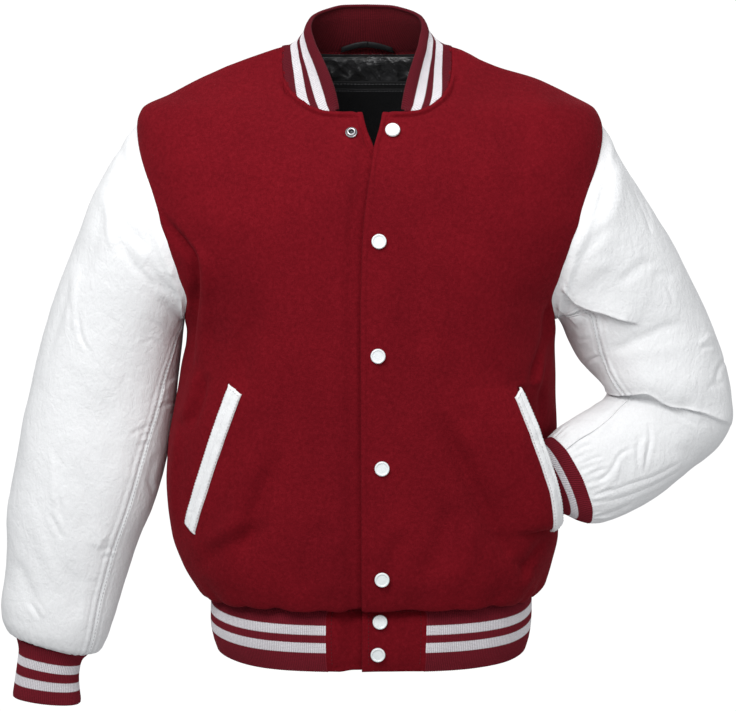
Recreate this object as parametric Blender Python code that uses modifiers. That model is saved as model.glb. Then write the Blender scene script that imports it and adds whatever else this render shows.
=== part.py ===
"""Varsity jacket, worn form with nobody in it. Wool body, leather sleeves and welts, rib collar, cuffs and waistband.

World axes: +X is the wearer's left, -Y is the front, +Z is up; the origin is the middle of the neck base,
level with the shoulders' neck points. Units are metres.
"""
import math

import bpy
import numpy as np
from mathutils import Vector

for old in list(bpy.data.objects):
    bpy.data.objects.remove(old, do_unlink=True)

# ---------------------------------------------------------------- sizes, in metres and degrees
WOOL_T = 0.0026        # melton wool fronts, back and waistband ends
LEATHER_T = 0.0018     # sleeves and pocket welts
RIB_T = 0.0032         # collar, cuffs and waistband: rib knit folded double
LINING_T = 0.0012
GAP = 0.0003           # clearance between sewn pieces

# The garment is a stack of level rings. Each row is one ring, from the waistband seam up to the neck point:
# height, half width to -X and +X, front and back depth, squareness of the ring (2 is an ellipse).
RING = ("z", "minus_x", "plus_x", "front", "back", "square")
TORSO = (
    (-0.6010, 0.1745, 0.1825, 0.1235, 0.1030, 2.70),
    (-0.6050, 0.1825, 0.1895, 0.1300, 0.1085, 2.65),
    (-0.6025, 0.1895, 0.1935, 0.1365, 0.1135, 2.60),
    (-0.5900, 0.1995, 0.1980, 0.1430, 0.1185, 2.55),
    (-0.5680, 0.2125, 0.2045, 0.1475, 0.1225, 2.50),
    (-0.5350, 0.2230, 0.2110, 0.1485, 0.1245, 2.45),
    (-0.4800, 0.2265, 0.2125, 0.1460, 0.1245, 2.40),
    (-0.4330, 0.2240, 0.2105, 0.1440, 0.1245, 2.40),
    (-0.3600, 0.2120, 0.2075, 0.1420, 0.1265, 2.40),
    (-0.3100, 0.2055, 0.2055, 0.1405, 0.1290, 2.55),
    (-0.2753, 0.2100, 0.2085, 0.1390, 0.1300, 2.70),
    (-0.2418, 0.2320, 0.2300, 0.1370, 0.1315, 2.70),
    (-0.2078, 0.2525, 0.2510, 0.1340, 0.1330, 2.70),
    (-0.1811, 0.2600, 0.2590, 0.1310, 0.1335, 2.70),
    (-0.1308, 0.2585, 0.2585, 0.1210, 0.1320, 2.70),
    (-0.1000, 0.2580, 0.2580, 0.1080, 0.1265, 2.60),
    (-0.0800, 0.2572, 0.2560, 0.0965, 0.1200, 2.50),
    (-0.0640, 0.2515, 0.2490, 0.0840, 0.1140, 2.35),
    (-0.0471, 0.2216, 0.2180, 0.0665, 0.1060, 2.10),
    (-0.0306, 0.1884, 0.1840, 0.0470, 0.0970, 2.05),
    (-0.0142, 0.1486, 0.1440, 0.0290, 0.0880, 2.00),
    (0.0045, 0.0965, 0.0895, 0.0120, 0.0780, 2.00),
)
# The waistband, from its seam inside the rolled wool down to its folded lower edge.
BAND = (
    (-0.5970, 0.1712, 0.1792, 0.1205, 0.1000, 2.70),
    (-0.6025, 0.1722, 0.1800, 0.1215, 0.1010, 2.70),
    (-0.6095, 0.1765, 0.1825, 0.1258, 0.1053, 2.70),
    (-0.6220, 0.1790, 0.1825, 0.1285, 0.1080, 2.70),
    (-0.6400, 0.1790, 0.1820, 0.1290, 0.1085, 2.70),
    (-0.6580, 0.1765, 0.1800, 0.1275, 0.1070, 2.70),
    (-0.6705, 0.1725, 0.1765, 0.1245, 0.1045, 2.70),
)
# Armhole edge on the front and on the back: height, and angle round the ring from the centre front or back.
ARMHOLE = ("z", "front_deg", "back_deg")
ARMHOLE_ROWS = (
    (-0.0800, 90.0, 90.0),
    (-0.0880, 86.0, 86.5),
    (-0.1050, 78.0, 80.0),
    (-0.1300, 68.5, 72.0),
    (-0.1530, 61.5, 67.0),
    (-0.1800, 56.5, 63.5),
    (-0.2050, 55.0, 62.5),
    (-0.2280, 57.0, 63.5),
    (-0.2500, 61.5, 66.5),
    (-0.2700, 68.0, 71.5),
    (-0.2840, 75.0, 77.5),
    (-0.2930, 83.0, 84.0),
    (-0.2960, 90.0, 90.0),
)
# Neckline seam: distance from the centre, height.
NECK = ("x", "z")
NECK_FRONT = ((0.0, -0.0656), (0.0200, -0.0656), (0.0345, -0.0653), (0.0480, -0.0643), (0.0590, -0.0614),
              (0.0685, -0.0565), (0.0790, -0.0480), (0.0865, -0.0375), (0.0905, -0.0260), (0.0922, -0.0120),
              (0.0925, 0.0045))
NECK_BACK = ((0.0, -0.0030), (0.0300, -0.0027), (0.0550, -0.0015), (0.0740, 0.0003), (0.0860, 0.0024),
             (0.0925, 0.0045))
# Front edges: height, edge of the wearer's left front, edge of the right front that lies under it.
EDGE = ("z", "left_front", "right_front")
EDGES = (
    (-0.7000, -0.0079, 0.0300), (-0.5800, -0.0088, 0.0300), (-0.4000, -0.0094, 0.0300), (-0.2700, -0.0096, 0.0300),
    (-0.2200, -0.0086, 0.0300), (-0.2030, -0.0078, 0.0298), (-0.1770, -0.0061, 0.0280), (-0.1490, -0.0023, 0.0240),
    (-0.1250, 0.0010, 0.0178), (-0.1010, 0.0045, 0.0045), (-0.0960, 0.0058, 0.0022), (-0.0830, 0.0098, -0.0030),
    (-0.0656, 0.0140, -0.0086),
)
# The collar's profile at stations from the centre back (0) by the neck point (0.5) to its front end (1):
# where it bends up out of the shoulder, and its top edge.
COLLAR = ("station", "bend_x", "bend_y", "bend_z", "top_x", "top_y", "top_z")
COLLAR_ROWS = (
    (0.00, 0.0000, 0.0700, 0.0150, 0.0000, 0.0590, 0.0515),
    (0.15, 0.0285, 0.0660, 0.0150, 0.0255, 0.0550, 0.0508),
    (0.30, 0.0570, 0.0490, 0.0125, 0.0455, 0.0420, 0.0462),
    (0.42, 0.0725, 0.0250, 0.0080, 0.0595, 0.0210, 0.0380),
    (0.50, 0.0735, 0.0040, 0.0040, 0.0630, 0.0010, 0.0270),
    (0.60, 0.0725, -0.0180, -0.0090, 0.0590, -0.0210, 0.0105),
    (0.70, 0.0690, -0.0360, -0.0235, 0.0520, -0.0400, -0.0060),
    (0.80, 0.0625, -0.0530, -0.0395, 0.0450, -0.0560, -0.0230),
    (0.90, 0.0515, -0.0690, -0.0530, 0.0385, -0.0700, -0.0425),
    (1.00, 0.0365, -0.0810, -0.0632, 0.0345, -0.0805, -0.0617),
)
COLLAR_END = 0.0380        # the collar stops this far either side of the centre front

# Sleeve and cuff sections from the armhole down: outer and inner edge of the section (x and z), y of its middle,
# lean of the arm towards the front in degrees, half depth front to back, squareness.
SECTION = ("outer_x", "outer_z", "inner_x", "inner_z", "y", "lean", "deep", "square")
SLEEVE_RIGHT = (
    (-0.2970, -0.1390, -0.2080, -0.2975, 0.000, 0.0, 0.0870, 2.1),
    (-0.3270, -0.2070, -0.2085, -0.3040, 0.002, 0.0, 0.0840, 2.1),
    (-0.3510, -0.2700, -0.2100, -0.3200, 0.004, 0.0, 0.0780, 2.1),
    (-0.3710, -0.3355, -0.2150, -0.3620, 0.004, 0.0, 0.0720, 2.1),
    (-0.3880, -0.4000, -0.2240, -0.4270, 0.002, 0.0, 0.0690, 2.1),
    (-0.3995, -0.4600, -0.2360, -0.4850, -0.001, 0.0, 0.0650, 2.1),
    (-0.4095, -0.5250, -0.2590, -0.5450, -0.005, 0.0, 0.0590, 2.1),
    (-0.4155, -0.5850, -0.2790, -0.6050, -0.009, 0.0, 0.0530, 2.1),
    (-0.4185, -0.6250, -0.2920, -0.6430, -0.012, 0.0, 0.0480, 2.1),
    (-0.4165, -0.6400, -0.2990, -0.6620, -0.014, 0.0, 0.0430, 2.1),
    (-0.4100, -0.6510, -0.3060, -0.6730, -0.015, 0.0, 0.0370, 2.1),
    (-0.3985, -0.6565, -0.3190, -0.6765, -0.015, 0.0, 0.0290, 2.1),
)
CUFF_RIGHT = (
    (-0.3984, -0.6569, -0.3191, -0.6769, -0.015, 0.0, 0.0290, 2.1),
    (-0.3965, -0.6680, -0.3240, -0.6830, -0.015, 0.0, 0.0270, 2.1),
    (-0.3980, -0.6850, -0.3285, -0.6980, -0.016, 0.0, 0.0260, 2.1),
    (-0.4010, -0.7050, -0.3295, -0.7150, -0.016, 0.0, 0.0260, 2.1),
    (-0.4040, -0.7240, -0.3280, -0.7325, -0.017, 0.0, 0.0255, 2.1),
)
SLEEVE_LEFT = (
    (0.2785, -0.1210, 0.2080, -0.2960, 0.000, 0.0, 0.0860, 2.1),
    (0.3035, -0.1600, 0.2110, -0.2990, 0.004, 0.0, 0.0850, 2.1),
    (0.3325, -0.2060, 0.2160, -0.3080, 0.008, 0.0, 0.0820, 2.1),
    (0.3585, -0.2520, 0.2240, -0.3260, 0.012, 0.0, 0.0790, 2.1),
    (0.3800, -0.2965, 0.2360, -0.3460, 0.014, 0.0, 0.0770, 2.1),
    (0.3970, -0.3415, 0.2540, -0.3650, 0.014, 2.0, 0.0770, 2.1),
    (0.4060, -0.3860, 0.2660, -0.3765, 0.010, 8.0, 0.0700, 2.1),
    (0.4060, -0.4160, 0.2660, -0.3835, 0.006, 12.0, 0.0610, 2.1),
    (0.3920, -0.4405, 0.2610, -0.3880, -0.003, 18.0, 0.0570, 2.1),
    (0.3590, -0.4680, 0.2510, -0.3920, -0.013, 24.0, 0.0530, 2.1),
    (0.3190, -0.4945, 0.2375, -0.3975, -0.030, 28.0, 0.0470, 2.1),
    (0.2810, -0.5115, 0.2215, -0.4050, -0.044, 30.0, 0.0400, 2.1),
    (0.2545, -0.5190, 0.2060, -0.4130, -0.055, 30.0, 0.0335, 2.1),
    (0.2410, -0.5185, 0.1975, -0.4225, -0.060, 30.0, 0.0280, 2.1),
)
CUFF_LEFT = (
    (0.2406, -0.5186, 0.1971, -0.4226, -0.0602, 30.0, 0.0280, 2.1),
    (0.2310, -0.5140, 0.1900, -0.4260, -0.0640, 30.0, 0.0215, 2.1),
    (0.2130, -0.5060, 0.1770, -0.4330, -0.0680, 29.0, 0.0170, 2.1),
    (0.1990, -0.5050, 0.1660, -0.4365, -0.0715, 27.0, 0.0150, 2.1),
    (0.1890, -0.5050, 0.1570, -0.4385, -0.0742, 26.0, 0.0150, 2.1),
)
# Lengthwise seams of the right (-1) and left (1) sleeve between its two leather pieces, as turns round it from its
# outer side.
SEAM = ("share", "front_deg", "back_deg")
SEAMS = {
    -1: ((0.0, 160.0, 200.0), (0.12, 163.0, 204.0), (0.35, 146.0, 218.0), (0.6, 132.0, 226.0), (0.85, 134.0, 227.0),
         (1.0, 141.0, 228.0)),
    1: ((0.0, 160.0, 200.0), (0.06, 161.0, 202.0), (0.12, 146.0, 206.0), (0.22, 124.0, 213.0), (0.42, 133.0, 222.0),
        (0.6, 132.0, 226.0), (1.0, 130.0, 228.0)),
}

# Pocket slits: upper and lower end, x and z; the left one gapes because the cuff goes in behind its welt.
POCKET_TOP, POCKET_LOW = (0.1580, -0.3600), (0.2000, -0.5220)
MOUTH_LIFT, MOUTH_DENT = 0.0265, 0.0400
LAP = 0.0021           # clearance where one front or tab lies over the other
WELT_WIDE, WELT_PAST = 0.0215, 0.0030

SNAPS = (("snap_cap_1", 0.0240, -0.0857), ("snap_cap_2", 0.0094, -0.2014), ("snap_cap_3", 0.0084, -0.3227),
         ("snap_cap_4", 0.0127, -0.4432), ("snap_cap_5", 0.0128, -0.5629),
         ("snap_cap_6", 0.0107, -0.6144), ("snap_cap_7", 0.0085, -0.6497))
SNAP_RADIUS = 0.0080
STUD = (-0.0201, -0.0878)
TAB_RIGHT, TAB_LEFT = -0.0490, 0.0618      # outer ends of the two wool tabs of the waistband
NECK_SHARE, WELT_SHARE, SLIT_SHARE = 0.47, 0.60, 0.66   # neck point, welt and pocket slit across a panel's columns


def table(names, rows):
    return {name: np.array([row[k] for row in rows], float) for k, name in enumerate(names)}


def curve(xs, ys, x, even=True):
    """A smooth curve through the points; with even it never swings past a point."""
    xs, ys, x = np.asarray(xs, float), np.asarray(ys, float), np.asarray(x, float)
    wide = ys.reshape(len(xs), -1)
    step = np.diff(xs)[:, None]
    rise = np.diff(wide, axis=0) / step
    slope = np.empty_like(wide)
    slope[0], slope[-1] = rise[0], rise[-1]
    if len(xs) > 2:
        a, b = rise[:-1], rise[1:]
        if even:
            both = np.where(a * b > 0, a + b, 1.0)
            slope[1:-1] = np.where(a * b > 0, 2 * a * b / both, 0.0)
        else:
            slope[1:-1] = (a * step[1:] + b * step[:-1]) / (step[1:] + step[:-1])
    flat = x.reshape(-1)
    k = np.clip(np.searchsorted(xs, flat, side="right") - 1, 0, len(xs) - 2)
    h = step[k]
    t = np.clip((flat - xs[k])[:, None] / h, 0.0, 1.0)
    t2, t3 = t * t, t * t * t
    out = ((2 * t3 - 3 * t2 + 1) * wide[k] + (t3 - 2 * t2 + t) * h * slope[k]
           + (-2 * t3 + 3 * t2) * wide[k + 1] + (t3 - t2) * h * slope[k + 1])
    return out.reshape(x.shape + ys.shape[1:])


def ramp(t):
    t = np.clip(t, 0.0, 1.0)
    return t * t * (3 - 2 * t)


def bump(t):
    """1 at t = 0, falling smoothly to 0 at t = 1 and beyond."""
    return 1 - ramp(np.abs(t))


def unit(v):
    return v / np.maximum(np.linalg.norm(v, axis=-1, keepdims=True), 1e-12)


# ---------------------------------------------------------------- forms made of level rings
class Rings:
    """A closed form lofted through level rings. w is the distance along its profile from the first ring."""

    def __init__(self, rows):
        self.rows = table(RING, rows)
        self.level = np.concatenate(([0.0], np.cumsum(np.hypot(np.diff(self.rows["z"]), np.diff(self.rows["front"])))))
        self.top = self.level[-1]
        fine = np.linspace(0.0, self.top, 3001)
        height = curve(self.level, self.rows["z"], fine)
        if height[-1] < height[0]:
            self._w, self._z = fine[::-1], height[::-1]
        else:
            start = int(np.argmin(height))
            self._w, self._z = fine[start:], height[start:]
        self.angles = np.linspace(0, np.pi / 2, 361)
        self.heights = np.linspace(0.0, self.top, 240)
        self.tables = {(s, b): self._arcs(s, b) for s in (1, -1) for b in (False, True)}

    def at(self, z):
        return np.interp(z, self._z, self._w)

    def sizes(self, w):
        return {name: curve(self.level, self.rows[name], w) for name in RING}

    def point(self, angle, w):
        """Point at an angle round the body (0 front, +90 deg towards +X) and profile distance w."""
        angle, w = np.broadcast_arrays(np.asarray(angle, float), np.asarray(w, float))
        ring = self.sizes(w)
        s, c = np.sin(angle), np.cos(angle)
        power = 2.0 / ring["square"]
        side = np.where(s >= 0, ring["plus_x"], ring["minus_x"])
        depth = np.where(c >= 0, ring["front"], ring["back"])
        x = side * np.sign(s) * np.abs(s) ** power
        y = -depth * np.sign(c) * np.abs(c) ** power
        return np.stack([x, y, ring["z"]], axis=-1)

    def normal(self, angle, w):
        angle, w = np.broadcast_arrays(np.asarray(angle, float), np.asarray(w, float))
        round_, up = 2e-3, 5e-4
        across = self.point(angle + round_, w) - self.point(angle - round_, w)
        along = self.point(angle, np.minimum(w + up, self.top)) - self.point(angle, np.maximum(w - up, 0.0))
        turn = 1.0 if self.rows["z"][-1] > self.rows["z"][0] else -1.0
        return unit(np.cross(across, along)) * turn

    def angle_of_x(self, x, w, back=False):
        x, w = np.broadcast_arrays(np.asarray(x, float), np.asarray(w, float))
        ring = self.sizes(w)
        side = np.where(x >= 0, ring["plus_x"], ring["minus_x"])
        share = np.clip(np.abs(x) / side, 0.0, 1.0)
        a = np.arcsin(share ** (ring["square"] / 2.0))
        return np.sign(x) * (np.pi - a) if back else np.sign(x) * a

    def _arcs(self, sign, back):
        base = (np.pi - self.angles if back else self.angles) * sign
        p = self.point(base[None, :], self.heights[:, None])
        d = np.hypot(np.diff(p[..., 0], axis=1), np.diff(p[..., 1], axis=1))
        arc = np.concatenate([np.zeros((len(self.heights), 1)), np.cumsum(d, axis=1)], axis=1)
        share = np.linspace(0, 1, len(self.angles))
        return arc, np.array([np.interp(share * a[-1], a, self.angles) for a in arc])

    def _look(self, grid, w, col):
        n, m = grid.shape
        fw, fc = np.clip(w / self.top, 0, 1) * (n - 1), np.clip(col, 0, 1) * (m - 1)
        i, j = np.minimum(fw.astype(int), n - 2), np.minimum(fc.astype(int), m - 2)
        a, b = fw - i, fc - j
        return ((1 - a) * (1 - b) * grid[i, j] + (1 - a) * b * grid[i, j + 1]
                + a * (1 - b) * grid[i + 1, j] + a * b * grid[i + 1, j + 1])

    def quarter(self, w, sign=1, back=False):
        """Length of a quarter ring, from the centre to the side."""
        w = np.asarray(w, float)
        return self._look(self.tables[sign, back][0], w, np.ones(w.shape))

    def arc_at(self, turn, w, sign=1, back=False):
        """Distance round the ring from the centre, for a turn of 0 to 90 degrees."""
        turn, w = np.broadcast_arrays(np.asarray(turn, float), np.asarray(w, float))
        return self._look(self.tables[sign, back][0], w, turn / (np.pi / 2))

    def angle_at(self, a, w, sign=1, back=False):
        """Angle at distance a round the ring on one side; a small negative a is across the centre."""
        a, w = np.broadcast_arrays(np.asarray(a, float), np.asarray(w, float))
        near = self._look(self.tables[sign, back][1], w, a / self.quarter(w, sign, back))
        across = -self._look(self.tables[-sign, back][1], w, -a / self.quarter(w, -sign, back))
        turn = np.where(a >= 0, near, across)
        return sign * (np.pi - turn) if back else sign * turn

    def arc_of_x(self, x, w, sign=1, back=False):
        """Distance round the ring of the point at x, positive on the side given by sign."""
        x, w = np.broadcast_arrays(np.asarray(x, float), np.asarray(w, float))
        turn = np.abs(self.angle_of_x(np.abs(x) * np.sign(x), w))
        own = self.arc_at(turn, w, sign, back)
        other = -self.arc_at(turn, w, -sign, back)
        return np.where(x * sign >= 0, own, other)


TORSO_FORM = Rings(TORSO)
BAND_FORM = Rings(BAND)
_edges = table(EDGE, EDGES)
_hole = table(ARMHOLE, ARMHOLE_ROWS)
_collar = table(COLLAR, COLLAR_ROWS)


def level_z(w):
    return curve(TORSO_FORM.level, TORSO_FORM.rows["z"], w)


def front_edge(w, side):
    """Distance from the centre of a front's edge, positive into its own side. side 1 is the wearer's left."""
    name = "left_front" if side > 0 else "right_front"
    return TORSO_FORM.arc_of_x(np.interp(level_z(w), _edges["z"], _edges[name]), w, side)


def slit(w):
    """Distance from the centre front of the pocket line, carried on above and below the slit."""
    top, low = TORSO_FORM.at(POCKET_TOP[1]), TORSO_FORM.at(POCKET_LOW[1])
    a_top = TORSO_FORM.arc_of_x(np.array(POCKET_TOP[0]), np.array(top))
    a_low = TORSO_FORM.arc_of_x(np.array(POCKET_LOW[0]), np.array(low))
    t = (w - low) / (top - low)
    line = a_low + (a_top - a_low) * t
    ends = np.where(t < 0, a_low * TORSO_FORM.quarter(w) / TORSO_FORM.quarter(np.array(low)),
                    a_top * TORSO_FORM.quarter(w) / TORSO_FORM.quarter(np.array(top)))
    return np.where((t >= 0) & (t <= 1), line, ends), t


def mouth(t):
    """How far the left pocket gapes along its slit, from 0 at the lower end to 0 at the upper end."""
    return np.sin(np.pi * np.clip(t, 0.0, 1.0) ** 0.42) ** 0.8


def push(a, w, side, beyond, normal):
    """Displacement of a front: the edge of the right front sinks under the left one, and the left pocket gapes,
    its welt side standing forward and its side part pressed back. beyond marks points past the slit."""
    if side < 0:
        edge = -front_edge(w, 1)
        return (-(WOOL_T + LAP) * ramp((edge + 0.025 - a) / 0.016))[..., None] * normal
    line, t = slit(w)
    off = np.abs(a - line)
    reach = TORSO_FORM.quarter(w) - line
    forward = unit(0.45 * normal + np.array([0.0, -0.75, 0.0]))
    back = unit(-0.60 * normal + np.array([0.0, 0.50, 0.0]))
    lifted = MOUTH_LIFT * bump(np.maximum(off - 0.015, 0) / 0.060) - 0.003 * np.maximum(1 - off / 0.015, 0) ** 2
    dented = MOUTH_DENT * bump(np.maximum(off - 0.010, 0) / (reach - 0.010))
    moved = dented[..., None] * back if beyond else lifted[..., None] * forward
    return mouth(t)[..., None] * moved


def hole_point(turn, side):
    """Angle and profile distance of the armhole seam, for turns of 0 (shoulder) to 180 (underarm) to 360 degrees."""
    fine = np.linspace(0, len(ARMHOLE_ROWS) - 1, 600)
    rank = np.arange(len(ARMHOLE_ROWS))
    z = curve(rank, _hole["z"], fine)
    w = TORSO_FORM.at(z)
    turn = np.mod(np.asarray(turn, float), 360.0)
    front, back = (side * np.radians(curve(rank, _hole["front_deg"], fine)),
                   side * (np.pi - np.radians(curve(rank, _hole["back_deg"], fine))))
    found = []
    for angle in (front, back):
        p = TORSO_FORM.point(angle, w)
        run = np.concatenate(([0.0], np.cumsum(np.linalg.norm(np.diff(p, axis=0), axis=1))))
        share = np.where(turn <= 180, turn, 360 - turn) / 180 * run[-1]
        found.append((np.interp(share, run, angle), np.interp(share, run, w)))
    pick = turn <= 180
    return np.where(pick, found[0][0], found[1][0]), np.where(pick, found[0][1], found[1][1])


def neck_line(share, side, back):
    """(distance from centre, profile distance) along the neckline, from the neck point (0) to the centre or edge (1)."""
    rows = table(NECK, NECK_BACK if back else NECK_FRONT)
    rank = np.arange(len(rows["x"]))
    fine = np.linspace(0, rank[-1], 500)
    x, z = curve(rank, rows["x"], fine), curve(rank, rows["z"], fine)
    w = TORSO_FORM.at(z)
    reach = TORSO[-1][1 if side < 0 else 2] / NECK_FRONT[-1][0] - 1
    x = x * (1 + reach * (x / NECK_FRONT[-1][0] if back else ramp((z - NECK_FRONT[0][1]) / 0.045)))
    a = TORSO_FORM.arc_of_x(x * side, w, side, back)
    if not back:
        start = front_edge(np.array(TORSO_FORM.at(NECK_FRONT[0][1])), side)
        if start > 0:
            keep = a > start
            a, w = np.concatenate(([start], a[keep])), np.concatenate(([np.interp(start, a, w)], w[keep]))
        else:
            a, w = np.concatenate(([start], a)), np.concatenate(([w[0]], w))
    p = TORSO_FORM.point(TORSO_FORM.angle_at(a, w, side, back), w)
    run = np.concatenate(([0.0], np.cumsum(np.linalg.norm(np.diff(p, axis=0), axis=1))))
    at = (1 - np.asarray(share, float)) * run[-1]
    return np.interp(at, run, a), np.interp(at, run, w)


def panel(side, back, columns, low, high):
    """Pattern positions (distance from centre, profile distance) of half a body panel.
    columns runs 0 (centre) to 1 (side); low and high are row shares below and above the underarm."""
    form = TORSO_FORM
    under = form.at(ARMHOLE_ROWS[-1][0])
    s = np.asarray(columns, float)

    def row(w):
        w = np.asarray(w, float)
        start = np.zeros(w.shape) if back else front_edge(w, side)
        end = form.quarter(w, side, back) - GAP / 2
        if back:
            line = start + (end - start) * SLIT_SHARE
        else:
            line = slit(w)[0]
        line, start, end = line[..., None], start[..., None], end[..., None]
        welt = line - WELT_WIDE
        inside = np.where(s <= WELT_SHARE, start + (welt - start) * s / WELT_SHARE,
                          welt + (line - welt) * (s - WELT_SHARE) / (SLIT_SHARE - WELT_SHARE))
        return np.where(s <= SLIT_SHARE, inside, line + (end - line) * (s - SLIT_SHARE) / (1 - SLIT_SHARE))

    w_low = np.asarray(low, float) * under
    a_low = row(w_low)
    grid_low = np.stack([a_low, np.broadcast_to(w_low[:, None], a_low.shape)], -1)

    t = np.asarray(high, float)
    bottom = np.stack([row(np.array(under)), np.full(s.shape, under)], -1)
    neck = np.stack(neck_line(1 - np.clip(s / NECK_SHARE, 0, 1), side, back), -1)
    tip = form.at(ARMHOLE_ROWS[0][0])
    shoulder_w = form.top + (tip - form.top) * np.clip((s - NECK_SHARE) / (1 - NECK_SHARE), 0, 1)
    shoulder = np.stack([form.quarter(shoulder_w, side, back) - GAP / 2, shoulder_w], -1)
    upper = np.where((s <= NECK_SHARE)[:, None], neck, shoulder)
    angle, w_hole = hole_point(180 * (1 - t) if not back else 180 + 180 * t, side)
    turn = np.abs(angle) if not back else np.pi - np.abs(angle)
    right = np.stack([np.minimum(form.arc_at(turn, w_hole, side, back), form.quarter(w_hole, side, back) - GAP / 2), w_hole], -1)
    start_w = under + (upper[0, 1] - under) * t
    left = np.stack([np.zeros(t.shape) if back else front_edge(start_w, side), start_w], -1)
    S, T = s[None, :, None], t[:, None, None]
    ruled = (1 - T) * bottom[None] + T * upper[None]
    grid_high = (ruled + np.clip(1 - S / NECK_SHARE, 0, 1) ** 3 * (left[:, None] - ruled[:, :1])
                 + S ** 3 * (right[:, None] - ruled[:, -1:]))
    return np.concatenate([grid_low, grid_high[1:]], axis=0)


# ---------------------------------------------------------------- sleeves and cuffs
def section(rows, side, turn):
    """Points of each section at turns round it: 0 outer side, 90 front, 180 inner side, 270 back."""
    t = table(SECTION, rows)
    outer_edge = np.stack([t["outer_x"], t["y"], t["outer_z"]], -1)
    inner_edge = np.stack([t["inner_x"], t["y"], t["inner_z"]], -1)
    centre, half = (outer_edge + inner_edge) / 2, (outer_edge - inner_edge) / 2
    outer = unit(half)
    down = np.stack([outer[:, 2] * side, np.zeros(len(rows)), -outer[:, 0] * side], -1)
    lean = np.radians(t["lean"])[:, None]
    front = -np.sin(lean) * down + np.cos(lean) * np.array([0.0, -1.0, 0.0])
    turn = np.radians(np.asarray(turn, float))
    c, s = np.cos(turn), np.sin(turn)
    power = (2.0 / t["square"])[:, None]
    c, s = np.sign(c) * np.abs(c) ** power, np.sign(s) * np.abs(s) ** power
    return centre[:, None] + c[..., None] * half[:, None] + (t["deep"][:, None] * s)[..., None] * front[:, None]


class Tube:
    """A form lofted through sections; v runs 0 to 1 along it, turn goes round it. A sleeve starts at the armhole."""

    def __init__(self, rows, side, armhole=False):
        self.side, self.armhole = side, armhole
        self.turns = np.linspace(0.0, 360.0, 241)
        rings = section(rows, side, np.broadcast_to(self.turns, (len(rows), 241)))
        if armhole:
            angle, w = hole_point(self.turns, side)
            rings = np.concatenate([TORSO_FORM.point(angle, w)[None], rings])
            self.hole_normal = TORSO_FORM.normal(angle, w)
        step = np.linalg.norm(np.diff(rings, axis=0), axis=-1).mean(axis=1)
        self.v = np.concatenate(([0.0], np.cumsum(step)))
        self.long = self.v[-1]
        self.v = self.v / self.long
        self.rings = rings

    def point(self, v, turn):
        """v is a 1-D list of shares; turn has a row of turns for each v."""
        v = np.asarray(v, float)
        at = curve(self.v, self.rings, v, even=False)
        turn = np.mod(np.broadcast_to(turn, (len(v), np.shape(turn)[-1])), 360.0)
        f = turn / 360.0 * 240
        i = np.minimum(f.astype(int), 239)
        b = (f - i)[..., None]
        r = np.arange(len(v))[:, None]
        p0, p1, p2, p3 = at[r, (i - 1) % 240], at[r, i], at[r, (i + 1) % 240], at[r, (i + 2) % 240]
        return 0.5 * (2 * p1 + (p2 - p0) * b + (2 * p0 - 5 * p1 + 4 * p2 - p3) * b ** 2 + (3 * p1 - p0 - 3 * p2 + p3) * b ** 3)

    def normal(self, v, turn):
        v = np.asarray(v, float)
        turn = np.broadcast_to(turn, (len(v), np.shape(turn)[-1]))
        e = 1.5e-3
        along = self.point(np.clip(v + e, 0, 1), turn) - self.point(np.clip(v - e, 0, 1), turn)
        around = self.point(v, turn + 1.0) - self.point(v, turn - 1.0)
        return unit(np.cross(around, along)) * self.side

    def wall(self, v, turn):
        """Direction in which the wall's thickness is measured: the body's own normal at the armhole seam."""
        n = self.normal(v, turn)
        if not self.armhole:
            return n
        v = np.asarray(v, float)
        turn = np.mod(np.broadcast_to(turn, n.shape[:2]), 360.0)
        body = np.stack([np.interp(turn, self.turns, self.hole_normal[:, k]) for k in range(3)], -1)
        agree = (n * body).sum(-1, keepdims=True)
        share = bump(v * self.long / 0.010)[:, None, None] * ramp((agree + 0.1) / 0.5)
        return unit(n + share * (body / np.maximum(agree, 0.5) - n))


def seam_turns(v, side):
    t = table(SEAM, SEAMS[side])
    return curve(t["share"], t["front_deg"], v), curve(t["share"], t["back_deg"], v)


# ---------------------------------------------------------------- collar
def collar_stop(side):
    """Share of the front neckline, from the neck point, at which the collar ends."""
    share = np.linspace(0, 1, 400)
    a, w = neck_line(share, side, False)
    x = TORSO_FORM.point(TORSO_FORM.angle_at(a, w, side), w)[:, 0] * side
    return float(np.interp(-COLLAR_END, -x, share))


def collar_base(station, side):
    """Angle and profile distance on the neckline seam at a station, 0 at the centre back to 1 at the collar's front end."""
    station = np.asarray(station, float)
    a_b, w_b = neck_line(1 - np.clip(station / 0.5, 0, 1), side, True)
    a_f, w_f = neck_line(np.clip((station - 0.5) / 0.5, 0, 1) * collar_stop(side), side, False)
    back = station <= 0.5
    angle = np.where(back, TORSO_FORM.angle_at(a_b, w_b, side, True), TORSO_FORM.angle_at(a_f, w_f, side, False))
    return angle, np.where(back, w_b, w_f)


def collar_point(station, q):
    """Collar surface; station runs -1 (wearer's right front end) to 1 (left), q 0 at the neckline to 1 at the top edge."""
    station, q = np.broadcast_arrays(np.asarray(station, float), np.asarray(q, float))
    far = np.abs(station)
    side = np.where(station < 0, -1.0, 1.0)
    base = np.where((station < 0)[..., None], TORSO_FORM.point(*collar_base(far, -1)), TORSO_FORM.point(*collar_base(far, 1)))
    t = _collar
    bend = np.stack([curve(t["station"], t["bend_" + k], far) for k in "xyz"], -1)
    top = np.stack([curve(t["station"], t["top_" + k], far) for k in "xyz"], -1)
    shift = np.array([-0.0040, 0.0, 0.0]) * bump(np.maximum(far - 0.45, 0) / 0.55)[..., None]
    bend = bend * np.stack([side, np.ones_like(side), np.ones_like(side)], -1) + shift
    top = top * np.stack([side, np.ones_like(side), np.ones_like(side)], -1) + shift
    q = q[..., None]
    return (1 - q) ** 2 * base + 2 * q * (1 - q) * bend + q ** 2 * top


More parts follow.
